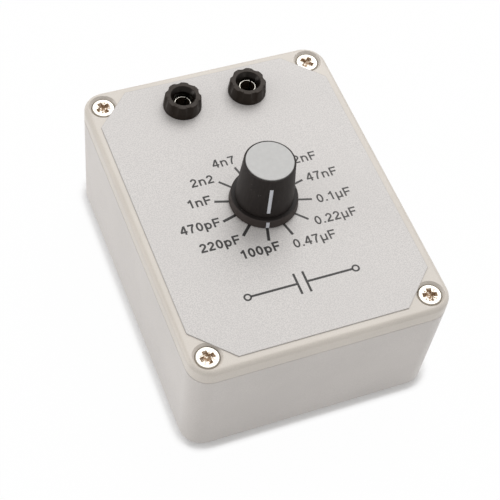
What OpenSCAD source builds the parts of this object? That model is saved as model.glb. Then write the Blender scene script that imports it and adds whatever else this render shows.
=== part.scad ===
// Capacitance substitution box: a moulded case with a screwed lid, a twelve-way rotary switch
// that picks one of twelve capacitors, and two 4 mm socket terminals.
// Millimetres. Z is up, Y runs from the front edge to the terminals, X is left to right.
// The origin is the centre of the underside, on the table.

/* [Case] */
// Width of the case at the parting line, left to right
case_w = 71.2; // [69:0.1:80]
// Length of the case at the parting line, front to back
case_l = 93.5; // [91:0.1:105]
// Height of the base, from the table to the parting line
base_h = 33; // [31:0.1:50]
// Height of the lid, from the parting line to its top face
lid_h = 4.5; // [4.5:0.1:6]
// Radius of the upright corners
corner_r = 6; // [5:0.1:7]
// How far each side of the base leans in between the parting line and the table
draft_in = 0.5; // [0.2:0.05:2.5]
// Rounding between the walls and the underside
foot_edge_r = 0.6; // [0.3:0.1:1]
// Rounding of the lid's top edge
lid_edge_r = 1.3; // [0.8:0.1:1.6]
// Chamfer on each side of the parting line
seam_chamfer = 0.25; // [0.1:0.05:0.4]
// Wall thickness of the base and of the lid's rim
wall_t = 2.4; // [2:0.1:2.6]
// Thickness of the base's floor
floor_t = 2.5; // [2:0.1:4]
// Thickness of the lid's top plate
lid_plate_t = 3; // [2.6:0.1:3.2]

/* [Locating tongue and guide ribs] */
// How far the lid's tongue reaches down inside the base
tongue_h = 2; // [1:0.1:3]
// Thickness of the tongue
tongue_t = 1.4; // [1:0.1:1.6]
// Clearance between the tongue and the base's wall
tongue_gap = 0.15; // [0.1:0.05:0.3]
// Thickness of one guide rib
rib_t = 1.2; // [0.8:0.1:1.6]
// How far a guide rib stands out from the wall
rib_out = 1.5; // [1:0.1:2]
// Width of the slot between the two ribs of a pair
rib_slot = 1.8; // [1.6:0.1:2.4]
// Distance between the pairs of ribs along the long walls
rib_pitch_l = 22; // [16:1:24]
// Distance between the pairs of ribs along the short walls
rib_pitch_w = 40; // [36:1:44]

/* [Lid screws] */
// Distance from each side of the case to a screw's axis
screw_inset = 5.3; // [5:0.1:5.6]
// Diameter of a screw's head
screw_head_d = 6; // [5.4:0.1:6.4]
// Height of a screw's head
screw_head_h = 1.5; // [1.2:0.1:1.6]
// Rounding of the head's rim
screw_head_edge = 0.5; // [0.2:0.1:0.7]
// Depth of the head's top below the lid's top face
screw_sink = 0.5; // [0.3:0.1:0.6]
// Clearance round a head in its well, on the radius
well_play = 0.25; // [0.15:0.05:0.4]
// Depth of the sloping mouth of each well
well_slope = 0.8; // [0.4:0.1:1.2]
// How far that mouth opens out, on the radius
well_flare = 0.65; // [0.3:0.05:0.8]
// Diameter of a screw's shank
screw_d = 3; // [2.5:0.1:3.2]
// Length of a screw below its head
screw_len = 10; // [8:0.5:12]
// Clearance round the shank in the lid, on the radius
screw_play = 0.2; // [0.1:0.05:0.3]
// Width of each arm of the cross recess
recess_w = 0.8; // [0.6:0.05:1]
// Span of the cross recess, tip to tip
recess_span = 3.4; // [2.8:0.1:3.8]
// Depth of the cross recess
recess_depth = 0.9; // [0.5:0.1:1]
// Outer diameter of the threaded insert in a corner pillar
insert_d = 4.4; // [4.2:0.1:4.8]
// Length of the threaded insert
insert_h = 6; // [4:0.5:8]
// Diameter of a corner pillar of the base
pillar_d = 7.6; // [7:0.1:8]
// Diameter of the pad under the lid that meets a pillar
pad_d = 9; // [8.4:0.1:9.4]

/* [Label plate] */
// Bare strip of the lid on the left and right of the label plate
label_side = 2.5; // [2.1:0.1:3.6]
// Bare strip of the lid in front of and behind the label plate
label_end = 2.6; // [2.1:0.1:4.1]
// How much each corner of the label is cut back along both edges
label_cut = 10; // [8:0.5:11]
// Thickness of the label plate
label_t = 0.25; // [0.15:0.05:0.4]
// How far the label sits behind the centre of the lid
label_y = 0.25; // [0:0.05:0.4]
// Clearance round what passes through the label, on the radius
label_play = 0.2; // [0.1:0.05:0.4]

/* [Switch positions] */
// Place of the switch in front of (-) or behind (+) the lid's centre
dial_y = -1.4; // [-3:0.1:2]
// Number of positions
stops = 12; // [10:1:12]
// Angle between neighbouring positions
stop_step = 30; // [30:1:30]
// Direction in which the pointer rests, counted from X
first_stop = -105; // [-120:15:-90]

/* [Knob] */
// Diameter of the knob at its foot
knob_d = 15.6; // [15:0.1:16.5]
// Diameter of the knob at its rim
knob_top_d = 13.5; // [13.2:0.1:14.5]
// Height of the knob's rim above the lid
knob_top = 16.9; // [16.6:0.1:19]
// Rounding of the knob's rim
knob_edge = 0.3; // [0.1:0.05:0.5]
// Width of the knob's rim round the cap
cap_rim = 0.5; // [0.45:0.05:0.7]
// Thickness of the cap
cap_t = 1.4; // [1:0.1:1.6]
// How far the cap stands above the rim
cap_proud = 0.15; // [0:0.05:0.4]
// Height of the hollow in the knob's foot
knob_hollow_h = 2.9; // [2.8:0.1:3.4]
// Width of the pointer lines
pointer_w = 0.9; // [0.6:0.1:1.2]
// Depth to which the pointer lines are let in
pointer_depth = 0.25; // [0.15:0.05:0.4]
// Distance from the knob's foot up to its pointer line
pointer_low = 1.7; // [0.8:0.1:3]
// Distance from the knob's rim down to its pointer line
pointer_high = 3.1; // [2.4:0.1:6]
// Distance of the cover's line from the upper and lower edges of its side
line_margin = 0.15; // [0.1:0.05:0.4]
// Outer diameter of the collet that grips the shaft
collet_d = 9.4; // [9:0.1:9.6]
// Gap between the collet's nut and the cap
nut_gap = 0.75; // [0.3:0.05:1.5]
// Diameter of the collet's threaded end
collet_neck_d = 7.6; // [7.2:0.1:8]
// Width of the slits in the collet
collet_slit = 0.6; // [0.4:0.1:0.8]
// Number of slits in the collet
collet_slits = 3; // [2:1:4]
// Diameter of the nut that draws the collet up
collet_nut_d = 10.6; // [10:0.1:11]
// Thickness of the collet nut
collet_nut_h = 1.8; // [1.4:0.1:2]
// Width of the slot across the collet nut
nut_slot_w = 1.2; // [0.8:0.1:1.6]
// Depth of the slot across the collet nut
nut_slot_depth = 0.8; // [0.4:0.1:1]

/* [Nut cover] */
// How much wider the cover is at its foot than at its shoulder, on the radius
cover_flare = 0.3; // [0:0.05:0.6]
// Clearance round the corners of the switch's nut inside the cover, on the radius
nut_play = 0.3; // [0.1:0.01:0.6]
// Gap between the switch's nut and the cover's top
stack_gap = 0.3; // [0.2:0.05:0.8]
// Clearance between the cover and the label
cover_gap = 0.25; // [0.15:0.05:0.4]
// Height of the collar that holds the cover in the knob's foot
collar_h = 1.4; // [1:0.1:2]
// Thickness of that collar
collar_wall = 0.5; // [0.4:0.05:0.6]
// Clearance round the switch's bush inside that collar, on the radius
collar_play = 0.23; // [0.1:0.01:0.4]
// Thickness of the cover's skirt
cover_wall = 0.55; // [0.4:0.05:0.6]
// Thickness of the cover's top
cover_roof = 0.55; // [0.4:0.05:0.6]
// Rounding of the cover's shoulder
cover_edge = 0.3; // [0.1:0.05:0.4]

/* [Switch bush and shaft] */
// Diameter of the switch's threaded bush
bush_d = 9.9; // [9:0.1:10.2]
// Height of the bush above the label
bush_high = 4.3; // [4:0.1:4.6]
// Gap between the bush's foot, inside the switch, and the path of the stop lug
foot_play = 0.5; // [0.2:0.1:0.8]
// Thickness of the bush's foot
bush_foot_t = 0.8; // [0.5:0.1:0.8]
// Clearance round the bush in the lid, on the radius
bush_play = 0.15; // [0.1:0.05:0.3]
// Diameter of the switch's shaft
shaft_d = 6; // [5.9:0.05:6.35]
// Running clearance of the shaft in the bush, on the radius
shaft_fit = 0.05; // [0.02:0.01:0.08]
// Distance across the two flats at the shaft's lower end
shaft_flats = 4.6; // [4:0.1:5.2]
// Outer diameter of the clip that keeps the shaft in
clip_d = 9; // [8:0.1:9.6]
// Thickness of the clip
clip_t = 0.6; // [0.4:0.1:0.8]
// Width of the clip's opening
clip_mouth = 4.2; // [3.6:0.1:4.6]
// Clearance between the clip and the bush
clip_play = 0.05; // [0.04:0.01:0.2]
// Depth of the groove that the clip snaps into
groove_depth = 0.5; // [0.3:0.1:0.7]
// Distance across the flats of the switch's nut
nut_af = 14; // [13:0.1:14.2]
// Thickness of the switch's nut
nut_t = 1.6; // [1.2:0.1:1.7]
// Outer diameter of the lock washer under the nut
washer_d = 15; // [14:0.1:15.6]
// Thickness of the lock washer
washer_t = 0.4; // [0.3:0.05:0.5]

/* [Switch body] */
// Outer diameter of the switch's housing
housing_d = 25.6; // [25:0.1:28]
// Height of the housing
housing_h = 10.5; // [10.4:0.1:13]
// Thickness of the housing's top
housing_roof = 2.2; // [2:0.1:2.6]
// Thickness of the housing's wall at the detent ridges
housing_wall = 1.9; // [1.7:0.05:2.2]
// Radius of one detent notch
notch_r = 1.3; // [1.2:0.05:1.5]
// Diameter of the peg that stops the switch turning in the lid
peg_d = 2.4; // [2:0.1:2.6]
// Distance of the peg from the shaft
peg_r = 9.6; // [9.4:0.1:10]
// Clearance between the rotor and the detent ridges
rotor_play = 0.9; // [0.7:0.05:1.2]
// Thickness of the rotor
rotor_t = 4; // [3.8:0.1:4.4]
// Gap between the rotor and the bush's foot
rotor_gap = 0.3; // [0.2:0.05:0.4]
// Diameter of a detent ball
ball_d = 2.4; // [2.2:0.1:2.5]
// Clearance of a ball from the ridges it passes
ball_gap = 0.05; // [0.04:0.01:0.1]
// Clearance of a ball in the rotor, on the radius
ball_play = 0.05; // [0.03:0.01:0.1]
// Diameter of the wire of a detent spring
spring_wire = 0.35; // [0.25:0.05:0.4]
// Number of turns in a detent spring
spring_turns = 5; // [4:1:6]
// Distance of the stop lug and block from the rotor's edge
lug_edge = 0.8; // [0.6:0.1:1.2]
// Length of the stop lug and block, outwards from the shaft
lug_reach = 2.2; // [1.6:0.1:2.4]
// Height of the stop lug
lug_h = 0.8; // [0.7:0.1:0.9]
// Width of the stop lug, as an angle
lug_angle = 12; // [8:1:16]
// Clearance between lug and block at either end, as an angle
lug_play = 0.2; // [0.1:0.1:0.5]

/* [Switch contacts] */
// Thickness of the wafer that closes the switch
wafer_t = 1.8; // [1.4:0.1:2.2]
// Distance of the twelve contacts from the edge of the housing
contact_edge = 3.8; // [3.5:0.1:4.2]
// Diameter of a contact's head
contact_d = 2.6; // [2.2:0.1:2.8]
// Height of a contact's head
contact_h = 0.6; // [0.4:0.1:0.8]
// Width of a terminal blade
blade_w = 2.2; // [1.8:0.1:2.4]
// Thickness of a terminal blade
blade_t = 0.5; // [0.4:0.05:0.6]
// Length of a terminal blade below the wafer
blade_len = 5.4; // [5:0.1:6.5]
// Diameter of the eye in a terminal blade
eye_d = 1.1; // [0.9:0.1:1.2]
// Height of the eye above the blade's end
eye_up = 1; // [0.9:0.1:1.2]
// Middle radius of the common contact
common_r = 4; // [3.8:0.1:4.2]
// Width of the common contact ring
common_w = 2; // [1.6:0.1:2.2]
// Length of the common terminal below the wafer
common_len = 3.6; // [3:0.1:4]
// Width of the wiper
wiper_w = 3; // [2.4:0.1:3.4]
// Thickness of the wiper
wiper_t = 0.4; // [0.3:0.05:0.5]
// Diameter of the wiper's contact points
wiper_pip_d = 1.6; // [1.2:0.1:1.8]
// Diameter of the two studs that hold the wiper on the rotor
stud_d = 1.2; // [0.8:0.1:1.4]
// Distance of the inner stud from the shaft
stud_r = 5; // [4.6:0.1:5.2]
// Distance between the two studs
stud_pitch = 1.9; // [1.8:0.1:2.2]
// Clearance drawn between the wiper's points and the contacts
wiper_gap = 0.05; // [0.03:0.01:0.1]

/* [Capacitors] */
// Gap between the edge of the switch and each capacitor
cap_gap = 1.2; // [0.8:0.1:3.2]
// Spacing of a capacitor's two leads
lead_pitch = 5; // [4.8:0.1:5.2]
// Diameter of a capacitor's lead
lead_d = 0.6; // [0.5:0.05:0.65]
// How far a lead runs on inside the terminal ring
lead_tail = 0.7; // [0.4:0.1:1]
// Diameter of the smallest ceramic disc
disc_d = 6.6; // [6.6:0.1:7.2]
// How much each larger disc grows in diameter
disc_step = 0.3; // [0.1:0.05:0.4]
// Thickness of a ceramic disc
disc_t = 2.2; // [1.8:0.1:2.6]
// Length of a box film capacitor along its leads' spacing
film_l = 7.2; // [7:0.1:7.6]
// Depth of the smallest box
film_h = 6.5; // [6:0.1:7]
// How much deeper each larger box is
film_h_step = 0.6; // [0.3:0.1:0.7]
// Thickness of the smallest box
film_t = 2.5; // [2.2:0.1:2.8]
// How much thicker each larger box is
film_t_step = 0.4; // [0.2:0.05:0.5]
// Height of the feet at the ends of a box
film_foot = 0.4; // [0.3:0.1:0.6]
// Length of each foot
film_foot_l = 2; // [1.8:0.1:2.3]
// Height of the bus strip
bus_h = 2.2; // [1.8:0.1:2.4]
// Widest diameter of a solder joint
solder_d = 1.9; // [1.5:0.1:2]
// Narrowest diameter of a solder joint
solder_tip_d = 0.9; // [0.8:0.1:1]
// Length of a solder joint along the lead
solder_h = 0.9; // [0.6:0.1:1.2]

/* [Socket terminals] */
// Distance between the two sockets
socket_pitch = 19; // [17:0.1:21]
// Distance from the rear edge of the case to the sockets
socket_inset = 11.2; // [10.4:0.05:12.1]
// Diameter of a fluted head at its foot
head_d = 10.6; // [10.2:0.1:12]
// How far a head's side leans in from foot to top, on the radius
head_taper = 0.35; // [0.2:0.05:0.8]
// Height of a fluted head
head_h = 4.1; // [3.6:0.05:5]
// Height of the plain foot of a head, below the flutes
head_foot_h = 0.7; // [0.4:0.1:1]
// Rounding of the head's top edge
head_edge = 0.3; // [0.1:0.05:0.4]
// Number of flutes round a head
flutes = 8; // [6:1:10]
// Radius of one flute
flute_r = 1.7; // [1.2:0.1:2.2]
// Depth of a flute at the top of the head
flute_depth = 0.3; // [0.2:0.05:0.6]
// Lean of the flutes, so that they fade out towards the foot
flute_lean = 13; // [11:1:22]
// Width of a head's rim round the mouth of its cup
head_rim = 1.5; // [1.3:0.05:1.6]
// Lean of the cup's funnel from upright
cup_lean = 35; // [28:1:40]
// Diameter of the spigot under a head
spigot_d = 7.8; // [7.6:0.1:8]
// Length of the spigot below the label
spigot_len = 2; // [1.6:0.1:2]
// Clearance round the spigot in the lid, on the radius
spigot_play = 0.2; // [0.15:0.05:0.3]
// Outer diameter of the socket sleeve's thread
sleeve_d = 6; // [5.8:0.1:6.2]
// Clearance between the head's thread and the sleeve's, on the radius
thread_fit = 0.05; // [0.02:0.01:0.08]
// Bore of the sockets, for a 4 mm plug
socket_bore = 4; // [4:0.05:4.2]
// Diameter of the sleeve's nose
nose_d = 4.8; // [4.7:0.1:5]
// Clearance round the nose in the cup's throat, on the radius
nose_play = 0.15; // [0.1:0.05:0.2]
// Depth of the bore below the label
socket_depth = 16; // [14:0.5:18]
// Height of the left sleeve's mouth above the label
left_nose = 1.25; // [0.5:0.05:1.6]
// Height of the right sleeve's mouth above the label
right_nose = 2.05; // [0.5:0.05:2.4]
// Width of the two slots in a sleeve
sleeve_slot = 0.5; // [0.3:0.1:0.8]
// Depth of the slots below the sleeve's mouth
sleeve_slot_depth = 11; // [8:0.5:13]
// Direction of the slots, counted from X
sleeve_slot_turn = 45; // [0:5:90]
// Thickness of a head's foot round the washer that is let into it
head_skirt = 0.4; // [0.3:0.1:0.6]
// Thickness of the washer in a head's foot
clamp_t = 0.3; // [0.2:0.05:0.35]
// Clearance round that washer, on the radius
clamp_play = 0.2; // [0.1:0.05:0.25]
// Clearance above that washer
clamp_lift = 0.05; // [0.05:0.01:0.1]
// Diameter of the flange of a rear bush
rear_d = 11; // [10:0.1:11.4]
// Thickness of that flange
rear_t = 1.5; // [1:0.1:2]
// How far a rear bush reaches up into the lid
rear_reach = 0.9; // [0.5:0.1:1]
// Outer diameter of a rear washer
rear_washer_d = 9.6; // [9:0.1:10.4]
// Thickness of a rear washer
rear_washer_t = 0.5; // [0.4:0.1:0.8]
// Distance across the flats of a socket's nut
socket_nut_af = 8; // [7.6:0.1:9]
// Thickness of a socket's nut
socket_nut_t = 2; // [1.6:0.1:2.4]
// Thickness of a solder tag
tag_t = 0.4; // [0.3:0.1:0.6]
// Diameter of a solder tag's ring
tag_d = 9; // [8.6:0.1:9.8]
// Distance from the socket to the eye of its solder tag
tag_reach = 7.5; // [7:0.1:9]
// Width of a solder tag's tail
tag_w = 2.6; // [2.2:0.1:3]

/* [Wires] */
// Diameter of the two insulated wires
wire_d = 1.4; // [1:0.1:1.6]
// Diameter of the bare wire at their ends
core_d = 0.7; // [0.5:0.1:0.8]
// Length of bare wire at each end
core_len = 1.6; // [1.2:0.1:2]
// How far the common wire hangs from its tag before it turns
common_drop = 8; // [6:0.5:10]
// How far the bus wire hangs from its tag before it turns
bus_drop = 14; // [11:0.5:16]
// How straight both wires run in to the switch
wire_reach = 12; // [9:0.5:13]

/* [Hidden] */
$fn = 64;
// How far a cutting shape runs past the face it cuts
over = 1;
// Thickness of the slices that the drafted shapes are stretched over, and overlap of joined shapes
skin = 0.01;
// Radial gap between pieces that are pushed or screwed together
push_gap = 0.02;
// Steps in the rounding of an edge
edge_steps = 6;
// Sides of a full circle at the case's corners
corner_sides = 32;
// Rings and sides of the two wires and of a spring
wire_rings = 30;
wire_sides = 8;
spring_sides = 6;
spring_rings_per_turn = 10;

lid_top = base_h + lid_h;
lid_under = lid_top - lid_plate_t;
label_top = lid_top + label_t;
label_w = case_w - 2 * label_side;
label_l = case_l - 2 * label_end;
// Inset of the tongue's outer face, level with its lower end
tongue_inset = wall_t + tongue_gap + draft_in * tongue_h / base_h;
screw_x = case_w / 2 - screw_inset;
screw_y = case_l / 2 - screw_inset;
screw_seat = lid_top - screw_sink - screw_head_h;
well_d = screw_head_d + 2 * well_play;
well_mouth_d = well_d + 2 * well_flare;

stack_top = label_top + washer_t + nut_t;
bush_top = label_top + bush_high;
clip_under = bush_top + clip_play;
knob_foot = stack_top + stack_gap + cover_roof;
knob_rim = lid_top + knob_top;
hollow_top = knob_foot + knob_hollow_h;
cap_d = knob_top_d - 2 * cap_rim;
cap_seat = knob_rim + cap_proud - cap_t;
collet_top = cap_seat - nut_gap - collet_nut_h;
collet_h = collet_top - hollow_top;
shaft_top = collet_top + collet_nut_h / 2;
collar_d = bush_d + 2 * (collar_play + collar_wall);
knob_hollow_d = collar_d + 2 * push_gap;
cover_bore_d = nut_af / cos(30) + 2 * nut_play;
cover_top_d = cover_bore_d + 2 * cover_wall;
cover_d = cover_top_d + 2 * cover_flare;

housing_bore = housing_d - 2 * housing_wall;
rotor_d = housing_bore - 2 * rotor_play;
lug_r_out = rotor_d / 2 - lug_edge;
lug_r_in = lug_r_out - lug_reach;
bush_foot_d = 2 * (lug_r_in - foot_play);
contact_r = housing_d / 2 - contact_edge;
cap_r = housing_d / 2 + cap_gap;
housing_foot = lid_under - housing_h;
rotor_top = lid_under - housing_roof - bush_foot_t - rotor_gap;
rotor_foot = rotor_top - rotor_t;
rotor_mid = rotor_top - rotor_t / 2;
block_under = rotor_top + rotor_gap / 2;
ball_r = housing_bore / 2 - ball_gap - ball_d / 2;
spring_seat = shaft_d / 2 + over;
// The spring's last turn rests on the ball
spring_r = (ball_d - spring_wire) / 2;
spring_end = ball_r - sqrt(pow((ball_d + spring_wire) / 2, 2) - pow(spring_r, 2));
block_angle = 360 - (stops - 1) * stop_step - lug_angle - 2 * lug_play;
wafer_under = housing_foot - wafer_t;
blade_end = wafer_under - blade_len;
top_lead_z = blade_end + eye_up;
bus_lead_z = top_lead_z - lead_pitch;
cap_z = (top_lead_z + bus_lead_z) / 2;
common_eye_z = wafer_under - common_len + eye_up;
// Length of the flat that a disc's leads come out of
disc_flat = lead_pitch + 2 * lead_d;
// Number of positions that hold a disc; the later ones hold a box film capacitor
disc_count = 6;

socket_y = case_l / 2 - socket_inset;
head_top_d = head_d - 2 * head_taper;
cup_d = head_top_d - 2 * head_rim;
throat_d = nose_d + 2 * nose_play;
throat_top = head_h - (cup_d - throat_d) / 2 / tan(cup_lean);
clamp_d = head_d - 2 * (head_skirt + clamp_play);
socket_hole_d = spigot_d + 2 * spigot_play;
rear_under = lid_under - rear_t;
first_nut_under = rear_under - rear_washer_t - socket_nut_t;
tag_under = first_nut_under - tag_t;
second_nut_under = tag_under - socket_nut_t;
sleeve_end = min(second_nut_under - over, label_top - socket_depth - over);
tag_eye_y = socket_y - tag_reach;

// Shared shapes

// A rectangle with rounded corners, centred on the axes
module rounded_outline(w, l, r) {
    square([w - 2 * r, l], center = true);
    square([w, l - 2 * r], center = true);
    for (x = [-1, 1], y = [-1, 1])
        translate([x * (w / 2 - r), y * (l / 2 - r)])
            circle(r, $fn = corner_sides);
}

// One thin layer of the case's outline, moved in by inset on every side
module case_slice(z, inset, r = corner_r) {
    translate([0, 0, z])
        linear_extrude(skin)
            rounded_outline(case_w - 2 * inset, case_l - 2 * inset, r);
}

// A ring with a square section
module ring(d, bore, h) {
    difference() {
        cylinder(d = d, h = h);
        translate([0, 0, -over])
            cylinder(d = bore, h = h + 2 * over);
    }
}

// Part of a ring, from the angle 0 round to a
module ring_part(r_in, r_out, h, a) {
    rotate_extrude(angle = a)
        translate([r_in, 0])
            square([r_out - r_in, h]);
}

// A hexagon nut with a plain bore
module hex_nut(af, bore, h) {
    difference() {
        cylinder(d = af / cos(30), h = h, $fn = 6);
        translate([0, 0, -over])
            cylinder(d = bore, h = h + 2 * over);
    }
}

// Children once at each lid screw
module at_screws() {
    for (x = [-1, 1], y = [-1, 1])
        translate([x * screw_x, y * screw_y, 0])
            children();
}

// Children once at each switch position, X pointing away from the shaft
module at_stops() {
    for (i = [0 : stops - 1])
        at_stop(i)
            children();
}

module at_stop(i) {
    translate([0, dial_y, 0])
        rotate(first_stop - i * stop_step)
            children();
}

// Children at the left (-1) or right (1) socket
module at_socket(side) {
    translate([side * socket_pitch / 2, socket_y, 0])
        children();
}

// A round tube swept along a list of points; ref is never parallel to the path
module swept_tube(points, d, sides, ref) {
    n = len(points);
    function along(i) = points[min(i + 1, n - 1)] - points[max(i - 1, 0)];
    function unit(v) = v / norm(v);
    rings = [
        for (i = [0 : n - 1])
            let (t = unit(along(i)), a = unit(cross(t, ref)), b = cross(t, a))
                for (k = [0 : sides - 1])
                    points[i] + d / 2 * (cos(360 * k / sides) * a + sin(360 * k / sides) * b)
    ];
    walls = [
        for (i = [0 : n - 2], k = [0 : sides - 1])
            let (here = i * sides, next = here + sides, m = (k + 1) % sides)
                each [[here + k, next + k, next + m], [here + k, next + m, here + m]]
    ];
    polyhedron(
        points = rings,
        faces = concat(
            [[for (k = [0 : sides - 1]) k]],
            walls,
            [[for (k = [sides - 1 : -1 : 0]) (n - 1) * sides + k]]
        )
    );
}

// Points of a rounded outer corner at x, z, from the side up to the top
function round_edge(x, z, r) = [
    for (i = [0 : edge_steps])
        let (a = 90 * i / edge_steps)
            [x - r * (1 - cos(a)), z - r * (1 - sin(a))]
];

// A point on the cubic curve with ends a, d and handles b, c
function on_curve(a, b, c, d, t) =
    pow(1 - t, 3) * a + 3 * pow(1 - t, 2) * t * b + 3 * (1 - t) * t * t * c + pow(t, 3) * d;

// Case

module base_outside() {
    hull() {
        for (i = [0 : edge_steps])
            let (a = 90 * i / edge_steps)
                case_slice(foot_edge_r * (1 - sin(a)), draft_in + foot_edge_r * (1 - cos(a)));
        case_slice(base_h - seam_chamfer - skin, 0);
        case_slice(base_h - skin, seam_chamfer);
    }
}

module base_inside() {
    hull() {
        case_slice(floor_t, draft_in + wall_t, corner_r - wall_t);
        case_slice(base_h + over, wall_t, corner_r - wall_t);
    }
}

// A pair of upright ribs on the wall that faces X, meant to hold the edge of a circuit board
module rib_pair(reach) {
    for (s = [-1, 1])
        translate([reach, s * (rib_slot + rib_t) / 2 - rib_t / 2, 0])
            cube([2 * over + draft_in + rib_out, rib_t, base_h - tongue_h - over]);
}

module guide_ribs() {
    for (turn = [0, 180], i = [-1 : 1])
        rotate(turn)
            translate([0, i * rib_pitch_l, 0])
                rib_pair(case_w / 2 - wall_t - rib_out - draft_in);
    for (turn = [90, 270], s = [-1, 1])
        rotate(turn)
            translate([0, s * rib_pitch_w / 2, 0])
                rib_pair(case_l / 2 - wall_t - rib_out - draft_in);
}

module base_shell() {
    color([0.83, 0.81, 0.78])
        difference() {
            base_outside();
            difference() {
                base_inside();
                at_screws()
                    cylinder(d = pillar_d, h = base_h);
                guide_ribs();
            }
            at_screws() {
                translate([0, 0, base_h - insert_h])
                    cylinder(d = insert_d + 2 * push_gap, h = insert_h + over);
                translate([0, 0, screw_seat - screw_len - over])
                    cylinder(d = screw_d + 2 * screw_play, h = screw_len + 2 * over);
            }
        }
}

module lid_outside() {
    hull() {
        case_slice(base_h, seam_chamfer);
        case_slice(base_h + seam_chamfer, 0);
        for (i = [0 : edge_steps])
            let (a = 90 * i / edge_steps)
                case_slice(
                    lid_top - lid_edge_r * (1 - sin(a)) - skin,
                    lid_edge_r * (1 - cos(a)),
                    corner_r - lid_edge_r * (1 - cos(a))
                );
    }
}

// Outline of the lid's outer (0) or inner (1) tongue face
module tongue_outline(face) {
    inset = tongue_inset + face * tongue_t;
    rounded_outline(case_w - 2 * inset, case_l - 2 * inset, corner_r - inset);
}

// The tongue, open at the pillars
module lid_tongue() {
    difference() {
        translate([0, 0, base_h - tongue_h])
            linear_extrude(tongue_h + skin)
                difference() {
                    tongue_outline(0);
                    tongue_outline(1);
                }
        at_screws()
            translate([0, 0, base_h - tongue_h - over])
                cylinder(d = pillar_d + 4 * tongue_gap, h = tongue_h + over);
    }
}

module lid_hollow() {
    difference() {
        translate([0, 0, base_h - over])
            linear_extrude(lid_under - base_h + over)
                tongue_outline(1);
        at_screws()
            translate([0, 0, base_h - over])
                cylinder(d = pad_d, h = lid_h);
    }
}

module lid() {
    color([0.87, 0.84, 0.81])
        difference() {
            union() {
                difference() {
                    lid_outside();
                    lid_hollow();
                }
                lid_tongue();
            }
            at_screws() {
                translate([0, 0, base_h - over])
                    cylinder(d = screw_d + 2 * screw_play, h = lid_h);
                translate([0, 0, screw_seat])
                    cylinder(d = well_d, h = lid_h);
                translate([0, 0, lid_top - well_slope])
                    cylinder(d1 = well_d, d2 = well_mouth_d, h = well_slope + skin);
            }
            translate([0, dial_y, base_h])
                cylinder(d = bush_d + 2 * bush_play, h = lid_h + over);
            translate([0, dial_y + peg_r, base_h])
                cylinder(d = peg_d + 2 * bush_play, h = lid_h + over);
            for (side = [-1, 1])
                at_socket(side)
                    translate([0, 0, base_h])
                        cylinder(d = socket_hole_d, h = lid_h + over);
        }
}

module screw_head() {
    difference() {
        rotate_extrude()
            polygon(concat(
                [[0, 0], [screw_head_d / 2, 0]],
                round_edge(screw_head_d / 2, screw_head_h, screw_head_edge),
                [[0, screw_head_h]]
            ));
        for (turn = [0, 90])
            rotate(turn)
                translate([-recess_span / 2, -recess_w / 2, screw_head_h - recess_depth])
                    cube([recess_span, recess_w, recess_depth + over]);
    }
}

module lid_screws() {
    color([0.85, 0.84, 0.8])
        at_screws() {
            translate([0, 0, screw_seat])
                screw_head();
            translate([0, 0, screw_seat - screw_len])
                cylinder(d = screw_d, h = screw_len);
        }
}

module screw_inserts() {
    color([0.78, 0.66, 0.36])
        at_screws()
            translate([0, 0, base_h - insert_h])
                ring(insert_d, screw_d + 2 * push_gap, insert_h);
}

module panel_label() {
    color([0.84, 0.83, 0.82])
        difference() {
            translate([0, label_y, lid_top])
                linear_extrude(label_t)
                    intersection() {
                        square([label_w, label_l], center = true);
                        rotate(45)
                            square(sqrt(2) * ((label_w + label_l) / 2 - label_cut), center = true);
                    }
            translate([0, dial_y, base_h])
                cylinder(d = bush_d + 2 * label_play, h = lid_h + over);
            for (side = [-1, 1])
                at_socket(side)
                    translate([0, 0, base_h])
                        cylinder(d = socket_hole_d, h = lid_h + over);
        }
}

// Knob

// The knob without its bores, its side moved in by inset
module knob_solid(inset) {
    translate([0, dial_y, 0])
        rotate_extrude()
            polygon(concat(
                [[0, knob_foot], [knob_d / 2 - inset, knob_foot]],
                round_edge(knob_top_d / 2 - inset, knob_rim, knob_edge),
                [[0, knob_rim]]
            ));
}

// The upright strip that a pointer line fills between two heights
module pointer_strip(low, high) {
    at_stop(0)
        translate([0, -pointer_w / 2, low])
            cube([knob_d, pointer_w, high - low]);
}

// The groove for the knob's pointer line, sunk evenly into its side
module knob_groove() {
    difference() {
        pointer_strip(knob_foot + pointer_low, knob_rim - pointer_high);
        knob_solid(pointer_depth);
    }
}

module knob_body() {
    color([0.15, 0.145, 0.14])
        difference() {
            knob_solid(0);
            knob_groove();
            translate([0, dial_y, 0]) {
                translate([0, 0, knob_foot - over])
                    cylinder(d = knob_hollow_d, h = knob_hollow_h + over);
                translate([0, 0, knob_foot])
                    cylinder(d = collet_d + 2 * push_gap, h = collet_top - knob_foot);
                translate([0, 0, collet_top - skin])
                    cylinder(d = collet_nut_d + 2 * push_gap, h = knob_rim - collet_top);
                translate([0, 0, cap_seat])
                    cylinder(d = cap_d + 2 * push_gap, h = cap_t + over);
            }
        }
}

module knob_pointer() {
    color([0.85, 0.86, 0.88])
        intersection() {
            knob_solid(0);
            knob_groove();
        }
}

module knob_cap() {
    color([0.78, 0.78, 0.77])
        translate([0, dial_y, cap_seat])
            cylinder(d = cap_d, h = cap_t);
}

module knob_collet() {
    color([0.8, 0.68, 0.38])
        translate([0, dial_y, hollow_top])
            difference() {
                union() {
                    cylinder(d = collet_d, h = collet_h);
                    cylinder(d = collet_neck_d, h = collet_h + collet_nut_h);
                }
                translate([0, 0, -over])
                    cylinder(d = shaft_d + 2 * push_gap, h = collet_h + collet_nut_h + 2 * over);
                for (i = [0 : collet_slits - 1])
                    rotate(i * 360 / collet_slits)
                        translate([0, -collet_slit / 2, -over])
                            cube([collet_d, collet_slit, collet_h]);
            }
}

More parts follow.
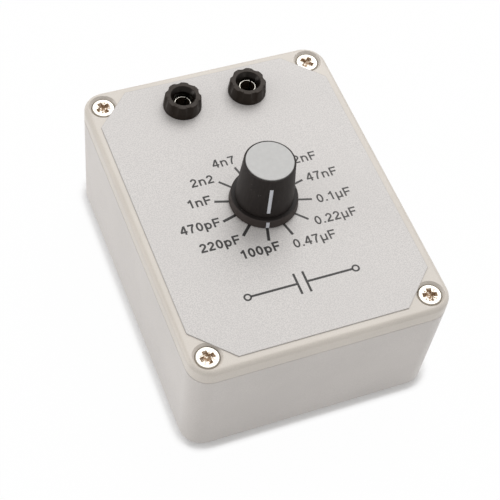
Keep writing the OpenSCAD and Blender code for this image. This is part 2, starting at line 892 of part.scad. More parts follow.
module collet_nut() {
    color([0.78, 0.66, 0.36])
        translate([0, dial_y, collet_top])
            difference() {
                ring(collet_nut_d, collet_neck_d + 2 * push_gap, collet_nut_h);
                translate([-collet_nut_d, -nut_slot_w / 2, collet_nut_h - nut_slot_depth])
                    cube([2 * collet_nut_d, nut_slot_w, nut_slot_depth + over]);
            }
}

// The cover without its bores, its side moved in by inset
module cover_solid(inset) {
    translate([0, dial_y, 0])
        rotate_extrude()
            polygon(concat(
                [[0, label_top + cover_gap], [cover_d / 2 - inset, label_top + cover_gap]],
                round_edge(cover_top_d / 2 - inset, knob_foot, cover_edge),
                [[0, knob_foot]]
            ));
}

// The groove for the line on the cover's side
module cover_groove() {
    difference() {
        pointer_strip(
            label_top + cover_gap + line_margin,
            knob_foot - cover_edge - line_margin
        );
        cover_solid(pointer_depth);
    }
}

module nut_cover() {
    color([0.16, 0.155, 0.15])
        difference() {
            union() {
                cover_solid(0);
                translate([0, dial_y, knob_foot - skin])
                    cylinder(d = collar_d, h = collar_h + skin);
            }
            cover_groove();
            translate([0, dial_y, label_top]) {
                cylinder(d = cover_bore_d, h = knob_foot - label_top - cover_roof);
                cylinder(d = collar_d - 2 * collar_wall, h = knob_foot);
            }
        }
}

module cover_pointer() {
    color([0.85, 0.86, 0.88])
        intersection() {
            cover_solid(0);
            cover_groove();
        }
}

// Switch

module switch_shaft() {
    color([0.72, 0.72, 0.73])
        translate([0, dial_y, 0]) {
            difference() {
                translate([0, 0, rotor_top])
                    cylinder(d = shaft_d, h = shaft_top - rotor_top);
                translate([0, 0, clip_under])
                    ring(shaft_d + 2 * over, shaft_d - 2 * groove_depth, clip_t);
            }
            translate([0, 0, rotor_foot])
                two_flats(0, rotor_t + skin);
        }
}

// A round bar with two flats, made larger all round by gap
module two_flats(gap, h) {
    intersection() {
        cylinder(d = shaft_d + 2 * gap, h = h);
        translate([-shaft_d, -shaft_flats / 2 - gap, 0])
            cube([2 * shaft_d, shaft_flats + 2 * gap, h]);
    }
}

module shaft_clip() {
    color([0.5, 0.5, 0.52])
        translate([0, dial_y, clip_under])
            difference() {
                ring(clip_d, shaft_d - 2 * groove_depth + 2 * push_gap, clip_t);
                translate([0, -clip_mouth / 2, -over])
                    cube([clip_d, clip_mouth, clip_t + 2 * over]);
            }
}

module switch_nut() {
    color([0.76, 0.75, 0.72])
        translate([0, dial_y, label_top + washer_t])
            hex_nut(nut_af, bush_d + 2 * push_gap, nut_t);
}

module switch_washer() {
    color([0.7, 0.7, 0.7])
        translate([0, dial_y, label_top])
            ring(washer_d, bush_d + 2 * push_gap, washer_t);
}

module switch_bush() {
    color([0.78, 0.76, 0.7])
        translate([0, dial_y, lid_under - housing_roof])
            difference() {
                union() {
                    translate([0, 0, -bush_foot_t])
                        cylinder(d = bush_foot_d, h = bush_foot_t);
                    cylinder(d = bush_d, h = bush_top - lid_under + housing_roof);
                }
                translate([0, 0, -bush_foot_t - over])
                    cylinder(d = shaft_d + 2 * shaft_fit, h = bush_top);
            }
}

module switch_housing() {
    roof = lid_under - housing_roof;
    color([0.13, 0.13, 0.14]) {
        difference() {
            union() {
                translate([0, dial_y, housing_foot])
                    cylinder(d = housing_d, h = housing_h);
                translate([0, dial_y + peg_r, roof])
                    cylinder(d = peg_d, h = housing_roof + lid_plate_t / 2);
            }
            translate([0, dial_y, housing_foot - over])
                cylinder(d = housing_bore, h = roof - housing_foot + over);
            at_stops()
                translate([housing_bore / 2, 0, housing_foot - over])
                    cylinder(r = notch_r, h = roof - housing_foot + over);
            translate([0, dial_y, roof - over])
                cylinder(d = bush_d + 2 * push_gap, h = housing_roof + 2 * over);
        }
        at_stop(0)
            rotate(lug_angle / 2 + lug_play)
                translate([0, 0, block_under])
                    ring_part(lug_r_in, lug_r_out, roof - block_under + skin, block_angle);
    }
}

module switch_rotor() {
    color([0.9, 0.89, 0.84]) {
        difference() {
            translate([0, dial_y, rotor_foot])
                cylinder(d = rotor_d, h = rotor_t);
            translate([0, dial_y, rotor_foot - over])
                two_flats(push_gap, rotor_t + 2 * over);
            for (turn = [0, 180])
                at_stop(0)
                    rotate(turn)
                        translate([spring_seat, 0, rotor_mid])
                            rotate([0, 90, 0])
                                cylinder(d = ball_d + 2 * ball_play, h = rotor_d);
        }
        at_stop(0) {
            rotate(-lug_angle / 2)
                translate([0, 0, rotor_top - skin])
                    ring_part(lug_r_in, lug_r_out, lug_h, lug_angle);
            translate([0, 0, rotor_foot - wiper_t])
                at_studs()
                    cylinder(d = stud_d, h = wiper_t + skin);
        }
    }
}

module at_studs() {
    for (x = [stud_r, stud_r + stud_pitch])
        translate([x, 0, 0])
            children();
}

module detent_balls() {
    color([0.75, 0.75, 0.77])
        for (turn = [0, 180])
            at_stop(0)
                rotate(turn)
                    translate([ball_r, 0, rotor_mid])
                        sphere(d = ball_d);
}

module detent_springs() {
    steps = spring_turns * spring_rings_per_turn;
    start = spring_seat + spring_wire / 2;
    color([0.6, 0.6, 0.62])
        for (turn = [0, 180])
            at_stop(0)
                rotate(turn)
                    translate([start, 0, rotor_mid])
                        swept_tube(
                            [
                                for (i = [0 : steps])
                                    [
                                        (spring_end - start) * i / steps,
                                        spring_r * cos(360 * i / spring_rings_per_turn),
                                        spring_r * sin(360 * i / spring_rings_per_turn)
                                    ]
                            ],
                            spring_wire,
                            spring_sides,
                            [1, 0, 0]
                        );
}

module switch_wiper() {
    pip_h = rotor_foot - wiper_t - housing_foot - contact_h - wiper_gap;
    color([0.8, 0.6, 0.35])
        at_stop(0)
            translate([0, 0, rotor_foot - wiper_t])
                difference() {
                    union() {
                        translate([-common_r - wiper_w / 2, -wiper_w / 2, 0])
                            cube([common_r + contact_r + wiper_w / 2 + wiper_pip_d / 2, wiper_w, wiper_t]);
                        for (x = [-common_r, contact_r])
                            translate([x, 0, -pip_h])
                                cylinder(d = wiper_pip_d, h = pip_h + wiper_t);
                    }
                    translate([0, 0, -over])
                        at_studs()
                            cylinder(d = stud_d + 2 * push_gap, h = wiper_t + 2 * over);
                }
}

module switch_wafer() {
    color([0.45, 0.3, 0.2])
        difference() {
            translate([0, dial_y, wafer_under])
                cylinder(d = housing_d, h = wafer_t);
            at_stops()
                blade_slot();
            common_place()
                blade_slot();
        }
}

// The slot that a terminal blade is pushed through, at its place on the X axis
module blade_slot() {
    translate([contact_r - blade_t / 2 - push_gap, -blade_w / 2 - push_gap, wafer_under - over])
        cube([blade_t + 2 * push_gap, blade_w + 2 * push_gap, wafer_t + 2 * over]);
}

// Children moved so that a piece drawn at the contacts' radius stands at the common one, facing back
module common_place() {
    translate([0, dial_y, 0])
        rotate(90)
            translate([common_r - contact_r, 0, 0])
                children();
}

// A blade that hangs from the top of the wafer, with an eye near its end
module blade(length) {
    difference() {
        translate([contact_r - blade_t / 2, -blade_w / 2, wafer_under - length])
            cube([blade_t, blade_w, wafer_t + length]);
        translate([contact_r - over, 0, wafer_under - length + eye_up])
            rotate([0, 90, 0])
                cylinder(d = eye_d, h = 2 * over);
    }
}

module switch_terminals() {
    color([0.82, 0.8, 0.74])
        at_stops() {
            blade(blade_len);
            translate([contact_r, 0, housing_foot])
                cylinder(d = contact_d, h = contact_h);
        }
}

module common_terminal() {
    color([0.82, 0.8, 0.74]) {
        common_place()
            blade(common_len);
        translate([0, dial_y, housing_foot])
            ring(2 * common_r + common_w, 2 * common_r - common_w, contact_h);
    }
}

// Capacitors and wiring

// A dipped ceramic disc on edge, flat where its leads leave it
module disc_capacitor(i) {
    d = disc_d + i * disc_step;
    color([0.82, 0.55, 0.28])
        at_stop(i)
            intersection() {
                translate([cap_r + sqrt(pow(d, 2) - pow(disc_flat, 2)) / 2, disc_t / 2, cap_z])
                    rotate([90, 0, 0])
                        cylinder(d = d, h = disc_t);
                translate([cap_r, -disc_t, cap_z - d])
                    cube([2 * d, 2 * disc_t, 2 * d]);
            }
}

// A box film capacitor on its side, standing on a foot at each lead
module film_capacitor(i) {
    h = film_h + (i - disc_count) * film_h_step;
    t = film_t + (i - disc_count) * film_t_step;
    color([0.3, 0.42, 0.62])
        at_stop(i)
            difference() {
                translate([cap_r, -t / 2, cap_z - film_l / 2])
                    cube([h, t, film_l]);
                translate([cap_r - over, -t, cap_z - film_l / 2 + film_foot_l])
                    cube([over + film_foot, 2 * t, film_l - 2 * film_foot_l]);
            }
}

module cap_100pf() { disc_capacitor(0); }
module cap_220pf() { disc_capacitor(1); }
module cap_470pf() { disc_capacitor(2); }
module cap_1nf() { disc_capacitor(3); }
module cap_2n2() { disc_capacitor(4); }
module cap_4n7() { disc_capacitor(5); }
module cap_10nf() { film_capacitor(6); }
module cap_22nf() { film_capacitor(7); }
module cap_47nf() { film_capacitor(8); }
module cap_100nf() { film_capacitor(9); }
module cap_220nf() { film_capacitor(10); }
module cap_470nf() { film_capacitor(11); }

module capacitor_leads() {
    color([0.8, 0.8, 0.78])
        at_stops()
            for (z = [top_lead_z, bus_lead_z])
                translate([contact_r - lead_tail, 0, z])
                    rotate([0, 90, 0])
                        cylinder(d = lead_d, h = cap_r - contact_r + lead_tail);
}

module bus_strip() {
    color([0.8, 0.78, 0.72])
        difference() {
            translate([0, dial_y, bus_lead_z - bus_h / 2])
                ring(2 * contact_r + blade_t, 2 * contact_r - blade_t, bus_h);
            at_stops()
                bus_eye();
            bus_wire_place()
                bus_eye();
        }
}

module bus_eye() {
    translate([contact_r - over, 0, bus_lead_z])
        rotate([0, 90, 0])
            cylinder(d = eye_d, h = 2 * over);
}

// Children in the gap between two capacitors where the bus wire comes in
module bus_wire_place() {
    translate([0, dial_y, 0])
        rotate(90 - stop_step)
            children();
}

// A cone of solder round a wire that leaves a blade along X
module solder(wire) {
    rotate([0, 90, 0])
        difference() {
            cylinder(d1 = solder_d, d2 = solder_tip_d, h = solder_h);
            translate([0, 0, -over])
                cylinder(d = wire, h = solder_h + 2 * over);
        }
}

module solder_joints() {
    color([0.75, 0.76, 0.78]) {
        at_stops()
            for (z = [top_lead_z, bus_lead_z])
                translate([contact_r + blade_t / 2, 0, z])
                    solder(lead_d);
        bus_wire_place()
            translate([contact_r + blade_t / 2, 0, bus_lead_z])
                solder(core_d);
        common_place()
            translate([contact_r + blade_t / 2, 0, common_eye_z])
                solder(core_d);
        for (side = [-1, 1])
            translate([side * socket_pitch / 2, tag_eye_y, tag_under])
                rotate([0, 90, 0])
                    solder(core_d);
    }
}

// Socket terminals

module head_solid() {
    rotate_extrude()
        polygon(concat(
            [[0, 0], [head_d / 2, 0], [head_d / 2, head_foot_h]],
            round_edge(head_top_d / 2, head_h, head_edge),
            [[0, head_h]]
        ));
}

module head_flutes() {
    for (i = [0 : flutes - 1])
        rotate(i * 360 / flutes)
            translate([head_top_d / 2 - flute_depth + flute_r, 0, head_h])
                rotate([0, 180 - flute_lean, 0])
                    translate([0, 0, -over])
                        cylinder(r = flute_r, h = head_h - head_foot_h + over);
}

module socket_head(side) {
    color([0.15, 0.145, 0.14])
        at_socket(side)
            translate([0, 0, label_top])
                difference() {
                    union() {
                        head_solid();
                        translate([0, 0, -spigot_len])
                            cylinder(d = spigot_d, h = spigot_len + skin);
                    }
                    translate([0, 0, throat_top])
                        cylinder(d1 = throat_d, d2 = cup_d, h = head_h - throat_top + skin);
                    translate([0, 0, -over])
                        cylinder(d = throat_d, h = throat_top + over + skin);
                    translate([0, 0, -spigot_len - over])
                        cylinder(d = sleeve_d + 2 * thread_fit, h = spigot_len + over);
                    translate([0, 0, -over])
                        ring(clamp_d + 2 * clamp_play, spigot_d, clamp_t + clamp_lift + over);
                    head_flutes();
                }
}

module left_head() { socket_head(-1); }
module right_head() { socket_head(1); }

module clamp_washer(side) {
    color([0.8, 0.78, 0.72])
        at_socket(side)
            translate([0, 0, label_top])
                ring(clamp_d, spigot_d + 2 * clamp_play, clamp_t);
}

module left_clamp_washer() { clamp_washer(-1); }
module right_clamp_washer() { clamp_washer(1); }

module socket_sleeve(side, nose) {
    color([0.84, 0.83, 0.78])
        at_socket(side)
            difference() {
                union() {
                    translate([0, 0, sleeve_end])
                        cylinder(d = sleeve_d, h = label_top - sleeve_end - push_gap);
                    translate([0, 0, sleeve_end])
                        cylinder(d = nose_d, h = label_top + nose - sleeve_end);
                }
                translate([0, 0, label_top - socket_depth])
                    cylinder(d = socket_bore, h = socket_depth + nose + over);
                rotate(sleeve_slot_turn)
                    translate([-sleeve_d, -sleeve_slot / 2, label_top + nose - sleeve_slot_depth])
                        cube([2 * sleeve_d, sleeve_slot, sleeve_slot_depth + over]);
            }
}

module left_sleeve() { socket_sleeve(-1, left_nose); }
module right_sleeve() { socket_sleeve(1, right_nose); }

module rear_bush(side) {
    color([0.16, 0.155, 0.15])
        at_socket(side)
            translate([0, 0, rear_under])
                difference() {
                    union() {
                        cylinder(d = rear_d, h = rear_t);
                        cylinder(d = socket_hole_d - 2 * push_gap, h = rear_t + rear_reach);
                    }
                    translate([0, 0, -over])
                        cylinder(d = sleeve_d + 2 * push_gap, h = rear_t + rear_reach + 2 * over);
                }
}

module left_rear_bush() { rear_bush(-1); }
module right_rear_bush() { rear_bush(1); }

module rear_washers() {
    color([0.75, 0.75, 0.73])
        for (side = [-1, 1])
            at_socket(side)
                translate([0, 0, rear_under - rear_washer_t])
                    ring(rear_washer_d, sleeve_d + 2 * push_gap, rear_washer_t);
}

module socket_nuts() {
    color([0.78, 0.76, 0.7])
        for (side = [-1, 1], z = [first_nut_under, second_nut_under])
            at_socket(side)
                translate([0, 0, z])
                    hex_nut(socket_nut_af, sleeve_d + 2 * push_gap, socket_nut_t);
}

module solder_tag(side) {
    color([0.82, 0.8, 0.74])
        at_socket(side)
            translate([0, 0, tag_under])
                difference() {
                    union() {
                        cylinder(d = tag_d, h = tag_t);
                        translate([-tag_w / 2, -tag_reach, 0])
                            cube([tag_w, tag_reach, tag_t]);
                        translate([0, -tag_reach, 0])
                            cylinder(d = tag_w, h = tag_t);
                    }
                    translate([0, 0, -over])
                        cylinder(d = sleeve_d + 2 * push_gap, h = tag_t + 2 * over);
                    translate([0, -tag_reach, -over])
                        cylinder(d = eye_d, h = tag_t + 2 * over);
                }
}

module left_solder_tag() { solder_tag(-1); }
module right_solder_tag() { solder_tag(1); }

// Insulated wire from the tag on one side to a place near the switch, coming in along its direction
module wire(side, drop, finish, dir) {
    start = [side * socket_pitch / 2, tag_eye_y, tag_under - core_len];
    swept_tube(
        [
            for (i = [0 : wire_rings])
                on_curve(
                    start,
                    start - [0, 0, drop],
                    finish + wire_reach * dir,
                    finish,
                    i / wire_rings
                )
        ],
        wire_d,
        wire_sides,
        [1, 0, 0]
    );
}

module common_wire() {
    color([0.75, 0.12, 0.1])
        wire(
            -1,
            common_drop,
            [0, dial_y + common_r + blade_t / 2 + core_len, common_eye_z],
            [0, 1, 0]
        );
}

module bus_wire() {
    dir = [sin(stop_step), cos(stop_step), 0];
    color([0.12, 0.12, 0.12])
        wire(
            1,
            bus_drop,
            [0, dial_y, bus_lead_z] + (contact_r + blade_t / 2 + core_len) * dir,
            dir
        );
}

module wire_ends() {
    color([0.8, 0.55, 0.4]) {
        common_place()
            translate([contact_r - lead_tail, 0, common_eye_z])
                rotate([0, 90, 0])
                    cylinder(d = core_d, h = lead_tail + blade_t / 2 + core_len);
        bus_wire_place()
            translate([contact_r - lead_tail, 0, bus_lead_z])
                rotate([0, 90, 0])
                    cylinder(d = core_d, h = lead_tail + blade_t / 2 + core_len);
        for (side = [-1, 1])
            translate([side * socket_pitch / 2, tag_eye_y, tag_under - core_len])
                cylinder(d = core_d, h = core_len + tag_t + lead_tail);
    }
}

base_shell();
lid();
lid_screws();
screw_inserts();
panel_label();
knob_body();
knob_cap();
knob_pointer();
nut_cover();
cover_pointer();
knob_collet();
collet_nut();
switch_shaft();
shaft_clip();
switch_nut();
switch_washer();
switch_bush();
switch_housing();
switch_rotor();
detent_balls();
detent_springs();
switch_wiper();
switch_wafer();
switch_terminals();
common_terminal();
cap_100pf();
cap_220pf();
cap_470pf();
cap_1nf();
cap_2n2();
cap_4n7();
cap_10nf();
cap_22nf();
cap_47nf();
cap_100nf();
cap_220nf();
cap_470nf();
capacitor_leads();
bus_strip();
solder_joints();
left_head();
right_head();
left_clamp_washer();
right_clamp_washer();
left_sleeve();
right_sleeve();
left_rear_bush();
right_rear_bush();
rear_washers();
socket_nuts();
left_solder_tag();
right_solder_tag();
common_wire();
bus_wire();
wire_ends();
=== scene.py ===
"""Looks of a capacitance substitution box: turned and cut pieces, printed dial, finishes and stage."""

import math
from types import SimpleNamespace

import bpy
from mathutils import Matrix, Vector


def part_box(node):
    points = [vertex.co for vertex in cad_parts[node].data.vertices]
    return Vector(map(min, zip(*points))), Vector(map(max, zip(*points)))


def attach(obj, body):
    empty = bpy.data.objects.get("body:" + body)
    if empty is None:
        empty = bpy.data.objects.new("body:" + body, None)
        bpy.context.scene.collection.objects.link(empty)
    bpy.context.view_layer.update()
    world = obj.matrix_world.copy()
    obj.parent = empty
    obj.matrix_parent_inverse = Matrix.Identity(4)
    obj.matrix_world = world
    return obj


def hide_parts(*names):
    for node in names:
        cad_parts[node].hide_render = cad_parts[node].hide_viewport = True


bl_info = {
    "name": "Substitution box looks",
    "version": (1, 0, 0),
    "blender": (4, 5, 0),
    "location": "3D View > Sidebar > Substitution box",
    "description": "Dresses the packed solids of a capacitance substitution box",
    "category": "Object",
}

MM = 0.001

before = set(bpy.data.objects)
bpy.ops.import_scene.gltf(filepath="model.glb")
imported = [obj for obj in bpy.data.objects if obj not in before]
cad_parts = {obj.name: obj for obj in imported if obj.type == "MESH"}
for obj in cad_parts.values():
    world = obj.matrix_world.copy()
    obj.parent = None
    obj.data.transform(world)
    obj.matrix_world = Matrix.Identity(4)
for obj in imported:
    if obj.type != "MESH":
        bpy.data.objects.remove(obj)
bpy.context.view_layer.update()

LABEL_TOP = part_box("panel_label")[1].z

# Rounding of the less seen edges and reach of a cutter past what it cuts, in millimetres
EASE = 0.1
CLEAR = 1.5

# Points nearer to each other than this, in metres, are one point
WELD = 0.002 * MM

# Steps round a large turned piece, a small one and a printed ring
FINE = 160
PLAIN = 96
RING = 32

# Edges of the solids that bend more than this stay sharp
SHARP = math.radians(32)

WHITE = (1, 1, 1, 1)


# Sizes and colours that can be changed


def length(name, description, default):
    """A distance property, its default in millimetres."""
    return bpy.props.FloatProperty(
        name=name, description=description, default=default * MM, min=0.0, precision=5,
        subtype="DISTANCE", unit="LENGTH",
    )


def angle(name, description, degrees):
    """An angle property, its default in degrees."""
    return bpy.props.FloatProperty(
        name=name, description=description, default=math.radians(degrees), subtype="ANGLE", unit="ROTATION"
    )


def share(name, description, default, high=1.0):
    """A plain number from nought up."""
    return bpy.props.FloatProperty(name=name, description=description, default=default, min=0.0, max=high)


def count(name, description, default):
    """A whole number."""
    return bpy.props.IntProperty(name=name, description=description, default=default, min=1)


def point(name, description, default):
    """A point property, in metres."""
    return bpy.props.FloatVectorProperty(
        name=name, description=description, default=default, size=3, subtype="TRANSLATION", unit="LENGTH"
    )


def colour(name, description, red, green, blue):
    """A colour property, its default as 0 to 255 screen values."""
    return bpy.props.FloatVectorProperty(
        name=name, description=description, size=3, min=0.0, max=1.0, subtype="COLOR",
        default=[screen_to_linear(v / 255) for v in (red, green, blue)],
    )


def screen_to_linear(value):
    """The linear light of one screen value between 0 and 1."""
    if value <= 0.04045:
        return value / 12.92
    return ((value + 0.055) / 1.055) ** 2.4


def setting_names(group):
    """The names of a group's own settings."""
    return [key for key in group.bl_rna.properties.keys() if key not in ("rna_type", "name")]


def in_mm(group):
    """A group's settings as plain values, its distances in millimetres."""
    plain = {key: getattr(group, key) for key in setting_names(group)}
    for key in plain:
        if group.bl_rna.properties[key].subtype == "DISTANCE":
            plain[key] /= MM
    return SimpleNamespace(**plain)


class KnobSizes(bpy.types.PropertyGroup):
    """The pointer knob, its cap and the cover under it."""

    foot_width: length("Foot diameter", "Diameter of the knob at its foot", 15.6)
    top_width: length("Top diameter", "Diameter of the knob at its rim", 13.5)
    foot_height: length("Foot height", "Height of the knob's foot above the table", 40.6)
    rim_height: length("Rim height", "Height of the knob's rim above the table", 54.4)
    foot_edge: length("Foot edge", "Rounding of the outer edges where knob and cover meet", 0.35)
    edge: length("Rim edge", "Rounding of the rim's outer edge", 0.3)
    hollow_width: length("Hollow diameter", "Diameter of the hollow in the foot", 11.4)
    hollow_top: length("Hollow top", "Height of the hollow's roof above the table", 43.5)
    collet_width: length("Collet bore", "Diameter of the bore round the collet", 9.44)
    nut_width: length("Nut bore", "Diameter of the bore round the collet's nut", 10.64)
    nut_seat: length("Nut seat", "Height of the nut's seat above the table", 50.6)
    cap_width: length("Cap diameter", "Diameter of the cap let into the rim", 12.5)
    cap_gap: length("Cap gap", "Gap between the cap and the rim round it", 0.05)
    cap_seat: length("Cap seat", "Height of the cap's underside above the table", 53.15)
    cap_height: length("Cap thickness", "Thickness of the cap", 1.4)
    cap_foot: length("Cap chamfer", "Chamfer of the cap's lower edge", 0.15)
    cap_edge: length("Cap edge", "Rounding of the cap's upper edge", 0.16)
    dish_rim: length("Dish rim", "Width of the slope into the cap's shallow dish", 1.6)
    dish_deep: length("Dish depth", "Depth of that dish", 0.02)
    line_width: length("Line width", "Width of the pointer lines", 0.9)
    line_depth: length("Line depth", "Depth of the pointer lines' grooves", 0.25)
    line_low: length("Line foot", "Height of the knob line's foot", 42.3)
    line_high: length("Line top", "Height of the knob line's top", 51.3)
    line_turn: angle("Line angle", "Direction of the pointer from +X", -105)
    cover_foot: length("Cover foot", "Diameter of the cover at its foot", 18.466)
    cover_top: length("Cover top", "Diameter of the cover at its top edge", 17.866)
    cover_edge: length("Cover edge", "Rounding of the cover's lower edge", 0.12)
    cover_low: length("Cover underside", "Height of the cover's foot above the table", 38.0)
    cover_bore: length("Cover bore", "Diameter of the hollow round the nut", 16.766)
    cover_roof: length("Cover roof", "Thickness of the cover's roof", 0.55)
    collar_width: length("Collar diameter", "Diameter of the collar in the knob's hollow", 11.36)
    collar_wall: length("Collar wall", "Wall of that collar", 0.5)
    collar_height: length("Collar height", "Height of that collar above the roof", 1.4)


class SocketSizes(bpy.types.PropertyGroup):
    """The two fluted heads and the slotted sleeves in them."""

    pitch: length("Pitch", "Distance between the two sockets", 19.0)
    back: length("Row", "Distance of the sockets from the lid's middle", 35.55)
    foot_width: length("Foot diameter", "Diameter of a head's plain foot", 10.6)
    top_width: length("Top diameter", "Diameter of a head's rim", 9.9)
    height: length("Height", "Height of a head above the label", 4.1)
    foot_height: length("Foot height", "Height of the plain foot", 0.7)
    edge: length("Rim edge", "Rounding of the rim's outer edge", 0.3)
    cup_width: length("Cup diameter", "Diameter of the funnel at the rim", 6.9)
    cup_edge: length("Cup edge", "Rounding of the funnel's edge", 0.12)
    lip: length("Lip", "Width of the rim that the scallops leave round the funnel", 0.25)
    throat_top: length("Throat top", "Height where the funnel meets its throat", 2.815)
    throat: length("Throat", "Diameter of the straight throat below the funnel", 5.1)
    washer_room: length("Washer room", "Diameter of the recess for the washer", 9.8)
    washer_high: length("Washer room height", "Depth of that recess", 0.35)
    spigot_width: length("Spigot diameter", "Diameter of the spigot through the lid", 7.8)
    spigot_edge: length("Spigot edge", "Rounding of the spigot's end", 0.15)
    spigot_length: length("Spigot length", "Length of the spigot below the label", 2.0)
    spigot_bore: length("Spigot bore", "Diameter of the thread in the spigot", 6.1)
    flutes: count("Flutes", "Scallops round a head", 8)
    flute_round: length("Flute radius", "Radius of a scallop", 1.7)
    flute_deep: length("Flute depth", "Depth of a scallop at the rim", 0.48)
    flute_lean: angle("Flute lean", "Lean of a scallop from upright", 11)
    flute_fade: length("Flute fade", "Height over which the scallops begin above the foot", 0.35)
    crest: length("Crest rounding", "Softness of the lobes between scallops", 0.07)
    sleeve_width: length("Sleeve diameter", "Diameter of a sleeve's threaded body", 6.0)
    sleeve_edge: length("Sleeve edge", "Rounding of a sleeve's lower end", 0.25)
    thread: length("Thread", "Rise of a sleeve's thread in one turn", 0.75)
    shoulder: length("Shoulder", "Depth of a sleeve's shoulder below the label", 0.02)
    nose_width: length("Nose diameter", "Diameter of a sleeve's nose", 4.45)
    nose_edge: length("Nose edge", "Rounding of a nose's outer edge", 0.03)
    bore: length("Bore", "Diameter of the socket's bore", 4.0)
    mouth: length("Mouth", "Rounding of the mouth of a bore", 0.14)
    sleeve_low: length("Sleeve end", "Height of a sleeve's lower end", 20.75)
    bore_deep: length("Bore depth", "Depth of the bore below the label", 16.0)
    left_nose: length("Left nose", "Height of the left nose above the label", 1.25)
    right_nose: length("Right nose", "Height of the right nose above the label", 2.05)
    slot_width: length("Slot width", "Width of the slots in a nose", 0.36)
    slot_deep: length("Slot depth", "Depth of those slots", 11.0)
    slot_turn: angle("Slot angle", "Direction of the slots from +X", 45)


class ScrewSizes(bpy.types.PropertyGroup):
    """The four lid screws."""

    across: length("Across", "Distance of the screws from the middle, across", 30.3)
    along: length("Along", "Distance of the screws from the middle, along", 41.45)
    seat: length("Seat", "Height of the seat in the wells", 35.5)
    seat_edge: length("Seat edge", "Rounding of a head's lower edge", 0.08)
    head_width: length("Head diameter", "Diameter of a head's flat top", 5.8)
    head_high: length("Head height", "Height of a head", 1.5)
    head_edge: length("Head edge", "Rounding of the flat top's edge", 0.1)
    slope_width: length("Slope width", "Width of the slope round the flat top", 0.3)
    slope_deep: length("Slope depth", "Depth of that slope", 0.42)
    slope_edge: length("Slope edge", "Rounding of the slope's lower edge", 0.06)
    shank_width: length("Shank diameter", "Diameter of a shank", 3.0)
    shank_length: length("Shank length", "Length of a shank", 10.0)
    tip: length("Tip chamfer", "Chamfer of a shank's tip", 0.4)
    arm_width: length("Arm width", "Width of the recess's arms", 1.4)
    arm_span: length("Arm span", "Reach of the recess across the head", 4.5)
    arm_rise: length("Arm rise", "Height above the head where the arms have their full size", 0.4)
    floor_width: share("Floor width", "Share of the arms' width at the recess's floor", 0.8)
    floor_span: share("Floor span", "Share of the arms' reach at the recess's floor", 0.6)
    recess_deep: length("Recess depth", "Depth of the cross recess", 0.9)
    tick_width: length("Mark width", "Width of the fine marks between the arms", 0.16)
    tick_span: length("Mark span", "Reach of the fine marks across the head", 4.6)
    tick_deep: length("Mark depth", "Depth of the fine marks", 0.06)


class DialSizes(bpy.types.PropertyGroup):
    """The print on the label."""

    centre_y: length("Centre offset", "How far the dial's centre lies before the middle", 1.4)
    ink: length("Ink", "Thickness of the print", 0.02)
    tick_width: length("Mark width", "Width of the finest dial marks", 0.61)
    tick_spread: length("Mark spread", "How much wider the marks print at the bold side", 0.2)
    bold_side: angle("Bold side", "Direction where the marks print widest, from +X", -135)
    tick_inner: length("Mark start", "Radius where the marks start", 8.6)
    tick_outer: length("Mark end", "Radius where the marks end", 13.0)
    stops: count("Stops", "Marks round the dial", 12)
    letter_height: length("Letter height", "Height of a capital", 2.78)
    symbol_y: length("Symbol offset", "How far the symbol lies before the middle", 28.6)
    symbol_width: length("Symbol width", "Distance between the middles of the symbol's rings", 29.8)
    symbol_ring: length("Symbol ring", "Diameter of the rings at the symbol's ends", 2.2)
    symbol_hole: length("Symbol hole", "Diameter of the holes in those rings", 1.24)
    symbol_lap: length("Symbol lap", "How far the leads run into the rings", 0.2)
    symbol_plate: length("Symbol plate", "Length of the symbol's plates", 6.4)
    symbol_gap: length("Symbol gap", "Gap between the symbol's plates", 1.9)
    symbol_stroke: length("Symbol stroke", "Width of the symbol's strokes", 0.62)


class Finishes(bpy.types.PropertyGroup):
    """Colours of the finishes."""

    case: colour("Case", "Moulded case plastic", 211, 205, 200)
    lid: colour("Lid", "Moulded lid plastic", 219, 211, 201)
    label: colour("Label", "Printed label film", 219, 215, 212)
    ink: colour("Ink", "Dial print", 52, 50, 49)
    knob: colour("Knob", "Knob plastic", 39, 34, 32)
    cap: colour("Cap", "Grey cap", 195, 194, 192)
    line: colour("Line", "Pointer paint", 214, 216, 222)
    head: colour("Head", "Socket head plastic", 31, 24, 19)
    nickel: colour("Nickel", "Plated sleeves and screws", 236, 231, 220)
    # Lit and shaded copies of one plating: painted shade makes the right sleeve darker than the left.
    left_sleeve: share("Left sleeve", "Brightness of the left sleeve's plating", 0.8)
    right_sleeve: share("Right sleeve", "Brightness of the right sleeve's plating", 0.52)
    dirt: colour("Dirt", "Dirt in the screw recesses", 146, 118, 88)
    brass: colour("Brass", "Brass parts", 214, 178, 98)
    steel: colour("Steel", "Steel parts", 176, 177, 178)
    bronze: colour("Bronze", "Spring bronze", 198, 138, 88)
    tin: colour("Tin", "Tinned parts", 208, 209, 208)
    copper: colour("Copper", "Bare copper", 206, 128, 88)
    switch: colour("Switch", "Switch housing plastic", 46, 46, 50)
    rotor: colour("Rotor", "Rotor plastic", 226, 220, 202)
    wafer: colour("Wafer", "Laminate of the wafer", 158, 112, 62)
    coating: colour("Coating", "Coating of the ceramic discs", 196, 132, 62)
    film: colour("Film", "Boxes of the film capacitors", 176, 52, 40)
    red: colour("Red wire", "Red insulation", 178, 32, 30)
    black: colour("Black wire", "Black insulation", 36, 35, 36)


